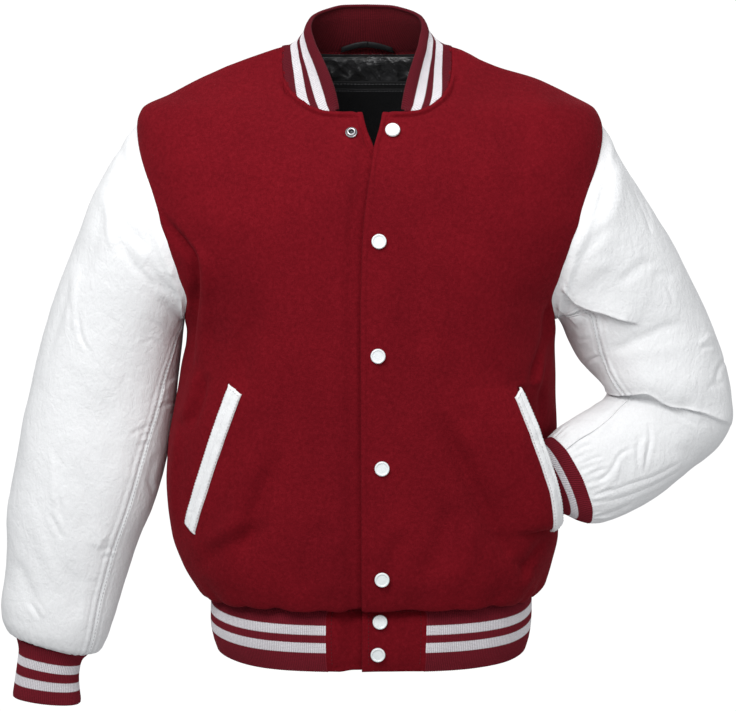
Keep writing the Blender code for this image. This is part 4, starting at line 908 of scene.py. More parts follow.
def blend_colour(tree, fac, a, b, mode="MIX"):
    node = put(tree, "ShaderNodeMix", data_type="RGBA", blend_type=mode)
    for key, value in ((0, fac), (6, a), (7, b)):
        if isinstance(value, bpy.types.NodeSocket):
            tree.links.new(value, node.inputs[key])
        else:
            node.inputs[key].default_value = value if key == 0 else (*value, 1.0)
    return node.outputs[2]


def bumps(tree, *layers):
    """Chained bumps: (height, distance in metres, strength)."""
    normal = None
    for height, distance, strength in layers:
        inputs = {"Height": height, "Distance": distance, "Strength": strength}
        if normal is not None:
            inputs["Normal"] = normal
        normal = put(tree, "ShaderNodeBump", inputs).outputs[0]
    return normal


def finish_material(made, tree, shader, colour, rough, normal, **plain):
    for key, value in (("Base Color", colour), ("Roughness", rough), ("Normal", normal)):
        if value is None:
            continue
        if isinstance(value, bpy.types.NodeSocket):
            tree.links.new(value, shader.inputs[key])
        else:
            shader.inputs[key].default_value = (*value, 1.0) if isinstance(value, tuple) else value
    for key, value in plain.items():
        shader.inputs[key.replace("_", " ")].default_value = value
    return made


def wool_material():
    made, tree, shader = start_material("red_wool")
    where = place(tree)
    nap = noise(tree, where, 900, 4, 0.65, 0.6)
    tuft = noise(tree, where, 260, 3, 0.6, 0.4)
    broad = noise(tree, where, 14, 3, 0.55)
    fibre = noise(tree, place(tree, (1, 1, 0.25)), 1500, 2, 0.6, 1.2)
    mix = maths(tree, "ADD", maths(tree, "MULTIPLY", nap, 0.55), maths(tree, "MULTIPLY", tuft, 0.45))
    colour = stops(tree, mix, (0.30, (0.106, 0.0028, 0.0060)), (0.50, (0.153, 0.0044, 0.0092)), (0.72, (0.209, 0.0086, 0.0154)))
    shade = stops(tree, broad, (0.30, (0.90, 0.90, 0.92)), (0.70, (1.06, 1.05, 1.04)))
    colour = blend_colour(tree, 1.0, colour, shade, "MULTIPLY")
    normal = bumps(tree, (broad, 0.0040, 0.20), (tuft, 0.0010, 0.35), (mix, 0.0006, 0.55), (fibre, 0.0003, 0.35))
    return finish_material(made, tree, shader, colour, 0.95, normal, Specular_IOR_Level=0.06, Sheen_Weight=0.10,
                           Sheen_Roughness=0.45, Sheen_Tint=(0.90, 0.10, 0.14, 1.0))


def leather_material(name, light, grain=1.0, rough=(0.52, 0.64), tone=0.97, specular=0.24):
    made, tree, shader = start_material(name)
    where = place(tree)
    cells = put(tree, "ShaderNodeTexVoronoi", {"Vector": where, "Scale": 780, "Randomness": 0.95}, feature="DISTANCE_TO_EDGE").outputs["Distance"]
    pores = maths(tree, "MINIMUM", cells, 0.22)
    fine = noise(tree, where, 420, 3, 0.6, 0.4)
    wrinkle = noise(tree, place(tree, (1.0, 1.0, 0.55)), 75, 4, 0.60, 1.3)
    creases = put(tree, "ShaderNodeTexVoronoi", {"Vector": put(tree, "ShaderNodeVectorMath", {0: where, 1: put(
        tree, "ShaderNodeVectorMath", {0: put(tree, "ShaderNodeTexNoise", {"Vector": where, "Scale": 38, "Detail": 3}).outputs["Color"],
                                       "Scale": 0.030}, operation="SCALE").outputs[0]}, operation="ADD").outputs[0],
        "Scale": 62, "Randomness": 1.0}, feature="DISTANCE_TO_EDGE").outputs["Distance"]
    creases = maths(tree, "MINIMUM", creases, 0.16)
    broad = noise(tree, where, 9, 3, 0.5)
    dark = tuple(c * tone * 0.93 for c in light)
    colour = blend_colour(tree, maths(tree, "MULTIPLY", broad, 0.55), light, dark)
    colour = blend_colour(tree, 1.0, colour, stops(tree, fine, (0.30, (0.955, 0.955, 0.95)), (0.65, (1.0, 1.0, 1.0))), "MULTIPLY")
    shine = put(tree, "ShaderNodeMapRange", {"Value": fine, 3: rough[0], 4: rough[1]}).outputs[0]
    papery = noise(tree, place(tree, (1.0, 1.0, 0.7)), 170, 4, 0.62, 1.0)
    normal = bumps(tree, (wrinkle, 0.0060, 0.22 * grain), (creases, 0.0040, 0.16 * grain), (papery, 0.0022, 0.30 * grain), (pores, 0.0006, 0.45 * grain), (fine, 0.0005, 0.30 * grain))
    return finish_material(made, tree, shader, colour, shine, normal, Specular_IOR_Level=specular)


def paint_rib_furrow_shade(tree, colour, pat, deep, height):
    """Painted shade: darkens the furrows between ribs by the rib's height."""
    rib = pat.outputs["Z"]
    painted_furrow_shade = stops(tree, rib, (0.0, deep), (0.75, (1.0, 1.0, 1.0)))
    return blend_colour(tree, 1.0, colour, painted_furrow_shade, "MULTIPLY")


def rib_material(name, stripes, long, maroon=(0.190, 0.0130, 0.0235), white=(0.82, 0.80, 0.82)):
    """Rib knit. pat holds the place across the ribs, the place down from the first edge and the rib's height.
    stripes are (from, to) in metres down from that edge, and long is the whole length down."""
    made, tree, shader = start_material(name)
    pat = put(tree, "ShaderNodeSeparateXYZ", {0: put(tree, "ShaderNodeAttribute", attribute_name="pat").outputs["Vector"]})
    where = place(tree)
    fuzz = noise(tree, where, 1100, 3, 0.65, 0.5)
    loops = maths(tree, "SINE", maths(tree, "MULTIPLY", pat.outputs["Y"], 2 * math.pi / 0.0016))
    wobble = maths(tree, "MULTIPLY", maths(tree, "SUBTRACT", fuzz, 0.5), 0.0014)
    down = maths(tree, "DIVIDE", maths(tree, "ADD", pat.outputs["Y"], wobble), long)
    rows = [(0.0, maroon)]
    soft = 0.0004 / long
    for a, b in stripes:
        rows += [(max(a / long - soft, 0.0), maroon), (a / long + soft, white), (b / long - soft, white), (b / long + soft, maroon)]
    colour = stops(tree, down, *rows) if stripes else None
    if colour is None:
        colour = stops(tree, fuzz, (0.3, maroon), (0.7, tuple(1.1 * c for c in maroon)))
    broad = noise(tree, where, 25, 2, 0.5)
    colour = blend_colour(tree, 1.0, colour, stops(tree, fuzz, (0.30, (0.80, 0.78, 0.80)), (0.68, (1.08, 1.08, 1.08))), "MULTIPLY")
    colour = blend_colour(tree, 1.0, colour, stops(tree, broad, (0.3, (0.92, 0.92, 0.92)), (0.7, (1.05, 1.05, 1.05))), "MULTIPLY")
    # painted shade: the furrows between the ribs are darkened by the rib's height
    colour = paint_rib_furrow_shade(tree, colour, pat, (0.60, 0.58, 0.60), None)
    normal = bumps(tree, (loops, 0.00025, 0.50), (fuzz, 0.0006, 0.5))
    return finish_material(made, tree, shader, colour, 0.94, normal, Specular_IOR_Level=0.08, Sheen_Weight=0.06,
                           Sheen_Roughness=0.5, Sheen_Tint=(0.9, 0.6, 0.6, 1.0))


def satin_material():
    made, tree, shader = start_material("black_lining")
    where = place(tree)
    weave = noise(tree, place(tree, (1.0, 1.0, 0.15)), 1600, 2, 0.5, 0.3)
    soft = noise(tree, place(tree, (1.0, 1.0, 2.2)), 34, 4, 0.6, 1.1)
    colour = stops(tree, soft, (0.30, (0.0110, 0.0110, 0.0120)), (0.70, (0.0225, 0.0225, 0.0240)))
    normal = bumps(tree, (soft, 0.0060, 0.55), (weave, 0.0002, 0.30))
    return finish_material(made, tree, shader, colour, 0.42, normal, Specular_IOR_Level=0.60, Sheen_Weight=0.10)


def patch_material():
    made, tree, shader = start_material("black_patch")
    where = place(tree)
    weave = noise(tree, where, 1300, 3, 0.6, 0.3)
    soft = noise(tree, where, 30, 3, 0.5)
    colour = stops(tree, soft, (0.30, (0.0060, 0.0060, 0.0068)), (0.70, (0.0105, 0.0105, 0.0115)))
    normal = bumps(tree, (soft, 0.0030, 0.25), (weave, 0.0004, 0.5))
    return finish_material(made, tree, shader, colour, 0.72, normal, Specular_IOR_Level=0.30, Sheen_Weight=0.06)


def enamel_material():
    made, tree, shader = start_material("white_snap")
    where = place(tree)
    scuff = noise(tree, where, 300, 4, 0.6, 0.5)
    colour = stops(tree, scuff, (0.30, (0.78, 0.83, 0.84)), (0.55, (0.87, 0.915, 0.92)))
    rough = put(tree, "ShaderNodeMapRange", {"Value": scuff, 3: 0.16, 4: 0.30}).outputs[0]
    normal = bumps(tree, (scuff, 0.0004, 0.12))
    return finish_material(made, tree, shader, colour, rough, normal, Specular_IOR_Level=0.55, Coat_Weight=0.35, Coat_Roughness=0.12)


def metal_material(name, light, rough):
    made, tree, shader = start_material(name)
    where = place(tree)
    scuff = noise(tree, where, 500, 4, 0.6, 0.5)
    colour = stops(tree, scuff, (0.30, tuple(0.85 * c for c in light)), (0.65, light))
    shine = put(tree, "ShaderNodeMapRange", {"Value": scuff, 3: rough * 0.8, 4: rough * 1.3}).outputs[0]
    normal = bumps(tree, (scuff, 0.0003, 0.15))
    return finish_material(made, tree, shader, colour, shine, normal, Metallic=1.0)


def thread_material(name, light):
    made, tree, shader = start_material(name)
    where = place(tree)
    ply = noise(tree, where, 2600, 2, 0.5)
    colour = stops(tree, ply, (0.3, tuple(0.80 * c for c in light)), (0.7, light))
    normal = bumps(tree, (ply, 0.0002, 0.4))
    return finish_material(made, tree, shader, colour, 0.7, normal, Specular_IOR_Level=0.3)


WOOL = wool_material()
LEATHER = leather_material("white_leather", (0.930, 0.936, 0.948))
SATIN = satin_material()
PATCH = patch_material()
BLACK = leather_material("black_leather", (0.0085, 0.0085, 0.0095), 0.8, (0.50, 0.62), specular=0.34)
ENAMEL = enamel_material()
NICKEL = metal_material("nickel", (0.62, 0.62, 0.64), 0.22)
# painted shade: near-black metal for the floor of the stud's sunken centre
STUD_HOLLOW_SHADE = metal_material("stud_hollow_painted_shade", (0.060, 0.060, 0.065), 0.35)
WHITE_THREAD = thread_material("white_thread", (0.70, 0.70, 0.71))
RED_THREAD = thread_material("red_thread", (0.150, 0.006, 0.012))
GREY_THREAD = thread_material("grey_thread", (0.20, 0.20, 0.21))


# ---------------------------------------------------------------- folds of the wool body, drawn on the picture
# (kind, depth in mm, width left and right of the line in pixels, line[, overhang in mm]); right is to the right hand
# of somebody walking along the line.
RIGHT_FRONT_FOLDS = (
    ("soft", -3.0, 8, 9, ((196, 572), (214, 552), (240, 540), (270, 520))),
    ("soft", 1.8, 8, 8, ((204, 548), (226, 530), (250, 516))),
    ("soft", -1.8, 8, 10, ((300, 600), (306, 560), (322, 520))),
    ("soft", 1.4, 9, 9, ((330, 600), (332, 560), (340, 530))),
    ("soft", -6.4, 4, 5.5, ((160, 212), (172, 229), (183, 243), (194, 258), (196, 275), (195, 300), (192, 330), (190, 372))),
    ("soft", 3.6, 7, 9, ((186, 236), (203, 262), (207, 292), (204, 330), (201, 372))),
    ("soft", 3.4, 3.5, 8, ((199, 368), (191, 402), (182, 424))),
    ("soft", -3.2, 4, 5, ((206, 372), (199, 404), (190, 430))),
    ("soft", 3.0, 4, 6, ((178, 420), (177, 446), (174, 480), (176, 533))),
    ("soft", -2.4, 9, 10, ((262, 300), (246, 350), (238, 400))),
    ("soft", 1.2, 16, 18, ((300, 210), (290, 300), (296, 400))),
    ("soft", -1.8, 14, 14, ((330, 250), (326, 380), (334, 480))),
    ("soft", -4.4, 8, 11, ((236, 572), (254, 512), (278, 450))),
    ("soft", 2.2, 12, 12, ((222, 560), (240, 500), (262, 430))),
    ("soft", -1.4, 14, 12, ((200, 120), (214, 160), (212, 210))),
    ("soft", 1.0, 14, 14, ((236, 92), (250, 140), (244, 200))),
)
LEFT_FRONT_FOLDS = (
    ("soft", -2.4, 8, 8, ((384, 600), (392, 560), (404, 530))),
    ("soft", -3.0, 4, 5, ((547, 538), (536, 552), (528, 566), (522, 584))),
    ("soft", 1.8, 6, 6, ((540, 560), (530, 576), (522, 592))),
    ("soft", -4.8, 4, 4.5, ((566, 268), (557, 300), (550, 313), (547, 334), (541, 355), (535, 373), (530, 396))),
    ("soft", 3.6, 5, 5, ((556, 318), (548, 345), (543, 368), (540, 394))),
    ("soft", -3.4, 3.5, 4, ((553, 330), (548, 352), (545, 373), (543, 394), (541, 424))),
    ("soft", -5.6, 8, 12, ((436, 410), (450, 436), (484, 504), (508, 545), (528, 570))),
    ("soft", 2.6, 10, 9, ((462, 418), (486, 466), (506, 510))),
    ("soft", -1.2, 5, 6, ((500, 532), (507, 546), (512, 558))),
    ("soft", -2.0, 5, 5, ((514, 560), (530, 569), (542, 572))),
    ("soft", -1.4, 10, 10, ((470, 300), (482, 350), (500, 392))),
    ("soft", 1.3, 12, 12, ((492, 290), (506, 340), (520, 380))),
    ("soft", -1.3, 14, 14, ((400, 240), (408, 340), (400, 440))),
    ("soft", 1.2, 14, 14, ((430, 220), (440, 320), (432, 400))),
    ("soft", -1.4, 12, 12, ((534, 120), (520, 160), (528, 214))),
    ("soft", 1.0, 12, 12, ((500, 92), (492, 140), (500, 196))),
    ("soft", -2.6, 10, 12, ((420, 585), (440, 545), (452, 500))),
    ("soft", 2.2, 10, 10, ((452, 590), (468, 556), (474, 520))),
)
RIGHT_FRONT_FOLDS = tuple((f[0], f[1] * 1.4, *f[2:]) for f in RIGHT_FRONT_FOLDS)
LEFT_FRONT_FOLDS = tuple((f[0], f[1] * 1.4, *f[2:]) for f in LEFT_FRONT_FOLDS)
# Folds of the back on a chart of mm: wearer's left to the right, down.
BACK_FOLDS = (
    ("soft", -3.0, 12, 16, ((-176, 190), (-160, 250), (-166, 320), (-172, 420))),
    ("soft", 2.2, 14, 14, ((-150, 200), (-136, 270), (-142, 340))),
    ("soft", -3.0, 16, 12, ((178, 196), (160, 256), (168, 330), (172, 420))),
    ("soft", 2.4, 14, 14, ((152, 204), (138, 276), (140, 350))),
    ("soft", -2.6, 14, 18, ((-150, 70), (-90, 118), (-20, 136), (60, 130))),
    ("soft", 1.8, 16, 16, ((-120, 110), (-50, 150), (30, 160), (100, 140))),
    ("soft", -2.0, 18, 18, ((-70, 540), (-84, 450), (-60, 360), (-30, 300))),
    ("soft", 1.8, 18, 18, ((-30, 560), (-40, 460), (-10, 360))),
    ("soft", -2.2, 18, 18, ((70, 560), (86, 470), (70, 380), (40, 310))),
    ("soft", 1.8, 16, 16, ((120, 560), (128, 480), (116, 400))),
    ("soft", -1.8, 12, 12, ((-130, 570), (-136, 500), (-120, 440))),
    ("soft", -1.6, 12, 12, ((20, 585), (14, 520), (24, 470))),
    ("soft", -2.0, 12, 14, ((-160, 500), (-100, 478), (-40, 482))),
    ("soft", -1.8, 12, 14, ((150, 486), (96, 500), (30, 494))),
)

UNDER = TORSO_FORM.at(ARMHOLE_ROWS[-1][0])
TIP_W = TORSO_FORM.at(ARMHOLE_ROWS[0][0])
HEM_GATHERS = np.array([-2.62, -2.31, -2.02, -1.80, -1.47, -1.22, -0.98, -0.70, -0.47, -0.19, 0.13, 0.40, 0.66, 0.98, 1.24, 1.49, 1.78, 2.08, 2.36, 2.60, 2.93])


def edge_gap(a, w, side, back):
    """Rough distance of pattern positions from the armhole and from the neckline."""
    turns = np.linspace(0, 180, 91) if not back else np.linspace(180, 360, 91)
    angle, hw = hole_point(turns, side)
    arc = TORSO_FORM.arc_at(np.abs(angle) if not back else np.pi - np.abs(angle), hw, side, back)
    nx = neck_line(np.linspace(0, 1, 60), side, back)
    def gap(line_a, line_w):
        flat_a, flat_w = a.reshape(-1), w.reshape(-1)
        best = np.full(flat_a.shape, 1e9)
        for la, lw in zip(line_a, line_w):
            best = np.minimum(best, (flat_a - la) ** 2 + (flat_w - lw) ** 2)
        return np.sqrt(best).reshape(a.shape)
    return gap(arc, hw), gap(*nx)


def body_surface(grid, side, back, beyond, folds=(), chart=None):
    """Displaced points, their normals and the plain form's normals, for pattern positions on a body panel."""
    a, w = grid[..., 0], grid[..., 1]
    angle = TORSO_FORM.angle_at(a, w, side, back)
    normal = TORSO_FORM.normal(angle, w)
    plain = TORSO_FORM.point(angle, w)
    p = plain if back else plain + push(a, w, side, beyond, normal)
    hole, neck = edge_gap(a, w, side, back)
    calm = ramp(hole / 0.016) * ramp(neck / 0.014)
    if not back:   # nothing moves where the snaps sit
        edge = a - front_edge(w, side)
        calm = calm * (1 if side < 0 else 1 - 0.9 * bump((edge - 0.012) / 0.020))
    reach = TORSO_FORM.quarter(w, side, back) - a
    seam = bump(reach / 0.0050) * ramp((UNDER - w) / 0.010 + 0.2)
    shoulder = bump(reach / 0.0050) * ramp((w - TIP_W) / 0.006)
    height = 0.0011 * waves(plain, 0.090, 3) * calm + 0.0004 * waves(plain, 0.030, 5) * calm
    height = height - 0.0012 * seam - 0.0010 * shoulder - 0.0007 * bump(hole / 0.005) - 0.0005 * bump(neck / 0.004)
    if not back:
        clear = ramp((edge - 0.0030) / 0.0100)
        height = height + 0.0013 * bump((neck - 0.0028) / 0.0040) * clear - 0.0024 * bump((neck - 0.0066) / 0.0025) * clear
        vee = ramp((w - TORSO_FORM.at(-0.150)) / 0.030) * ramp((neck - 0.0030) / 0.0080)
        height = height + 0.0006 * bump((edge - 0.0022) / 0.0032) * vee - 0.0011 * bump((edge - 0.0060) / 0.0030) * vee
    if not back:
        high = w > TORSO_FORM.at(-0.60)
        height = height - (0.0007 if side > 0 else 0.0014) * bump((edge - 0.0062) / 0.0024) * high * (1 if side > 0 else ramp((w - TORSO_FORM.at(-0.14)) / 0.02))
        below = ramp((TORSO_FORM.at(-0.100) - w) / 0.015) * ramp((w + 0.001) / 0.004)
        if side < 0:                                   # the right front gives a little under the edge that laps over it
            height = height - 0.0022 * bump((a + front_edge(w, 1) - 0.0010) / 0.0036) * below
        else:
            height = height - 0.0007 * bump(edge / 0.0020) * below + 0.0006 * bump((edge - 0.0042) / 0.0036) * below
    # the wearer's left shoulder slopes a little more than the other
    height = height - 0.0046 * bump((plain[..., 0] - 0.138) / 0.058) * ramp((plain[..., 2] + 0.135) / 0.060) * ramp(neck / 0.030)
    # gathers above the waistband
    hem = w - TORSO_FORM.level[1]
    fall = bump(np.maximum(hem - 0.004, 0) / 0.052) * ramp((w + 0.002) / 0.012)
    pucker = np.zeros(w.shape)
    for k, at in enumerate(HEM_GATHERS):
        strength = (1.3, 0.8, 1.7, 1.0, 1.45, 0.7)[k % 6]
        broad = (0.048, 0.036, 0.058, 0.042)[k % 4] * (1 + 1.5 * np.maximum(hem, 0) / 0.05)
        lean = (0.3, -0.5, 0.15, 0.6, -0.2)[k % 5] * np.maximum(hem, 0) * 3
        pucker -= strength * np.exp(-((angle - at - lean) / broad) ** 2)
    height = height + 0.0024 * (pucker + 0.45) * fall * (1 if back else np.clip((a - front_edge(w, side)) / 0.03, 0, 1))
    p = p + height[..., None] * normal
    if not back:                                       # across the front the hem hangs over the waistband less than at the sides
        drop = -0.6008 - plain[..., 2]
        lift = 0.5 * (drop + np.sqrt(drop ** 2 + 0.0006 ** 2)) * ramp((w + 0.0002) / 0.004)
        p[..., 2] += 0.92 * lift * (1 - ramp((np.abs(plain[..., 0]) - 0.120) / 0.055)) * (w < 0.03)
    # below the wearer's left pocket the hem rounds in towards the waistband
    foot = TORSO_FORM.point(angle, np.zeros(w.shape))
    draw = 0.62 * ramp((0.028 - w) / 0.021) * ramp((plain[..., 0] - 0.130) / 0.060)
    p[..., :2] -= (draw[..., None] * (p - foot))[..., :2]
    if len(folds):
        facing = front_facing(normal) if not back else np.ones(a.shape)
        where = seen(p) if chart is None else chart(p)
        free = ramp(hole / 0.010) * ramp(neck / 0.010) * ramp(reach / 0.010) * facing
        p = p + fold_up(p, normal, folds, where, free)
    return p, grid_normal(p, normal), plain


def edged(values, tight=((0.003, 0.008), (0.0045, 0.0017))):
    """Shares from 0 to 1 with narrow steps at both ends."""
    (a, b), (c, d) = tight
    inside = values[(values > b * 1.6) & (values < 1 - c * 1.6)]
    out = np.concatenate([[0, a, b], inside, [1 - c, 1 - d, 1]])
    return out


def odd(values):
    """The same shares with one more if needed, so that their number is odd."""
    if len(values) % 2 == 0:
        k = len(values) // 2
        values = np.insert(values, k, (values[k - 1] + values[k]) / 2)
    return values


LOW_ROWS = np.concatenate([[0, 0.0010 / UNDER, 0.0025 / UNDER], np.linspace(0.005 / UNDER, 1, 126)])
SLIT_ENDS = [TORSO_FORM.at(POCKET_LOW[1]) / UNDER, TORSO_FORM.at(POCKET_TOP[1]) / UNDER]
for end in SLIT_ENDS:                                  # a row at each end of the pocket, on an even index
    k = int(np.argmin(np.abs(LOW_ROWS - end)))
    k += k % 2
    LOW_ROWS[k] = end
    LOW_ROWS[k - 1], LOW_ROWS[k + 1] = (LOW_ROWS[k - 2] + end) / 2, (LOW_ROWS[k + 2] + end) / 2
HIGH_ROWS = odd(np.concatenate([np.linspace(0, 0.935, 86), np.linspace(0.9395, 0.9890, 14), [0.9935, 0.9975, 1.0]]))
if (len(LOW_ROWS) + len(HIGH_ROWS) - 1) % 2 == 0:
    HIGH_ROWS = np.insert(HIGH_ROWS, 50, (HIGH_ROWS[49] + HIGH_ROWS[50]) / 2)


def no_pat(p):
    return np.zeros(p.shape)


NEAR = odd(np.concatenate([[0, 0.003, 0.0075, 0.0120, 0.0165, 0.0210], np.linspace(0.0270, NECK_SHARE, 48), np.linspace(NECK_SHARE, SLIT_SHARE, 20)[1:]]))
FAR = odd(np.concatenate([np.linspace(SLIT_SHARE, 0.9925, 50), [0.9960, 0.9985, 1.0]]))
FRONTS = {}
for side, name, folds in ((-1, "front_right", RIGHT_FRONT_FOLDS), (1, "front_left", LEFT_FRONT_FOLDS)):
    grid = panel(side, False, np.concatenate([NEAR, FAR[1:]]), LOW_ROWS, HIGH_ROWS)
    cut = len(NEAR) - 1
    near = body_surface(grid[:, :cut + 1], side, False, False, folds)
    far = body_surface(grid[:, cut:], side, False, True, folds)
    FRONTS[side] = near[0]
    shell(name, [(near[0], near[1], no_pat(near[0])), (far[0], far[1], no_pat(far[0]))], WOOL_T, (WOOL, SATIN), flip=side < 0)

BACK_COLUMNS = odd(np.concatenate([np.linspace(0, NECK_SHARE, 38), np.linspace(NECK_SHARE, 0.9925, 44)[1:], [0.9960, 0.9985, 1.0]]))
BACK_LOW, BACK_HIGH = np.concatenate([[0, 0.0010 / UNDER, 0.0025 / UNDER], np.linspace(0.005 / UNDER, 1, 100)]), np.concatenate([np.linspace(0, 0.985, 84), [0.992, 0.9970, 1.0]])
if (len(BACK_LOW) + len(BACK_HIGH) - 1) % 2 == 0:
    BACK_HIGH = np.insert(BACK_HIGH, 40, (BACK_HIGH[39] + BACK_HIGH[40]) / 2)


def back_chart(p):
    return np.stack([p[..., 0] * 1000, -p[..., 2] * 1000], -1)


def back_grid(columns, low, high, folds=BACK_FOLDS):
    """Both halves of the back as one grid, from the wearer's left side to the right."""
    halves = [body_surface(panel(side, True, columns, low, high), side, True, False, folds, back_chart) for side in (1, -1)]
    return [np.concatenate([halves[0][k][:, ::-1], halves[1][k][:, 1:]], axis=1) for k in range(2)]


BACK_P, BACK_N = back_grid(BACK_COLUMNS, BACK_LOW, BACK_HIGH)
BACK_N = grid_normal(BACK_P, BACK_N)
shell("back", [(BACK_P, BACK_N, no_pat(BACK_P))], WOOL_T, (WOOL, SATIN))


# ---------------------------------------------------------------- sleeves
RIGHT_SLEEVE_FOLDS = (
    ("crease", -2.0, 1.9, 2.2, ((130, 140), (135, 160), (142, 175), (149, 190))),
    ("soft", -1.0, 4, 5, ((122, 145), (125, 165), (130, 185), (141, 199))),
    ("soft", 1.4, 4, 5, ((113, 170), (119, 190), (130, 207), (149, 233))),
    ("soft", -2.2, 4, 4, ((105, 200), (114, 212), (130, 230), (149, 250))),
    ("soft", 1.7, 4, 5, ((105, 193), (108, 212), (110, 232), (111, 250))),
    ("soft", -2.0, 6, 8, ((104, 198), (99, 226), (90, 252), (80, 285))),
    ("soft", -1.4, 4, 5, ((119, 238), (130, 260), (150, 281), (166, 294))),
    ("soft", 1.1, 4, 5, ((130, 240), (146, 264), (160, 282))),
    ("soft", -2.4, 4, 4, ((143, 258), (160, 281), (177, 298))),
    ("lap", 3.2, 2, 7, ((190, 278), (180, 274), (168, 273)), 1.5),
    ("crease", -2.1, 1.5, 1.6, ((159, 284), (168, 297))),
    ("lap", 2.6, 2, 6, ((180, 300), (181, 316), (179, 336)), 1.0),
    ("soft", -1.3, 3, 4, ((70, 270), (65, 300), (56, 330), (45, 362))),
    ("soft", 1.0, 3, 4, ((76, 276), (72, 305), (64, 335))),
    ("crease", -2.0, 1.7, 1.7, ((78, 312), (81, 335), (88, 352))),
    ("crease", -1.1, 1.6, 1.6, ((71, 300), (69, 334))),
    ("crease", -1.0, 1.6, 1.6, ((150, 320), (160, 327), (169, 336))),
    ("crease", -0.9, 1.6, 1.6, ((140, 345), (152, 340), (166, 350))),
    ("soft", -0.8, 6, 7, ((112, 350), (125, 372), (122, 395))),
    ("lap", 2.8, 1.8, 6, ((161, 397), (169, 386), (181, 375)), 1.0),
    ("crease", -1.8, 1.7, 1.7, ((158, 410), (166, 404), (175, 403))),
    ("crease", -1.7, 1.6, 1.9, ((128, 436), (140, 430), (153, 424))),
    ("crease", -1.4, 1.6, 1.7, ((138, 438), (146, 434), (155, 432))),
    ("crease", -1.1, 1.6, 1.7, ((134, 447), (144, 444), (152, 441))),
    ("soft", -1.6, 3, 4, ((158, 452), (152, 470), (150, 496))),
    ("crease", -1.8, 1.7, 1.7, ((146, 478), (152, 486), (153, 498))),
    ("lap", 1.8, 3, 6, ((108, 536), (101, 540), (97, 549)), 0.6),
    ("crease", -1.1, 1.6, 1.7, ((98, 552), (108, 548), (118, 549))),
    ("crease", -1.0, 1.6, 1.7, ((100, 560), (109, 556), (116, 558))),
    ("crease", -1.8, 1.9, 2.0, ((49, 512), (55, 524), (63, 540))),
    ("crease", -1.3, 1.7, 1.9, ((56, 488), (60, 506), (62, 524))),
    ("soft", 1.0, 3, 4, ((51, 448), (53, 478), (55, 508))),
    ("soft", 1.4, 6, 8, ((32, 505), (44, 548), (60, 590))),
    ("soft", -1.4, 5, 6, ((14, 556), (24, 576), (38, 612))),
    ("crease", -1.7, 1.7, 1.9, ((28, 601), (35, 610), (40, 620))),
    ("soft", -0.9, 8, 9, ((75, 470), (88, 500), (84, 540))),
    ("soft", 0.7, 9, 9, ((66, 400), (74, 440), (72, 480))),
    ("soft", -0.7, 8, 8, ((100, 400), (112, 440), (108, 476))),
    ("soft", -0.9, 7, 7, ((60, 560), (76, 590), (72, 620))),
    ("soft", 0.9, 6, 6, ((82, 580), (86, 606), (80, 630))),
    ("soft", -0.9, 5, 6, ((22, 430), (14, 480), (12, 530))),
)
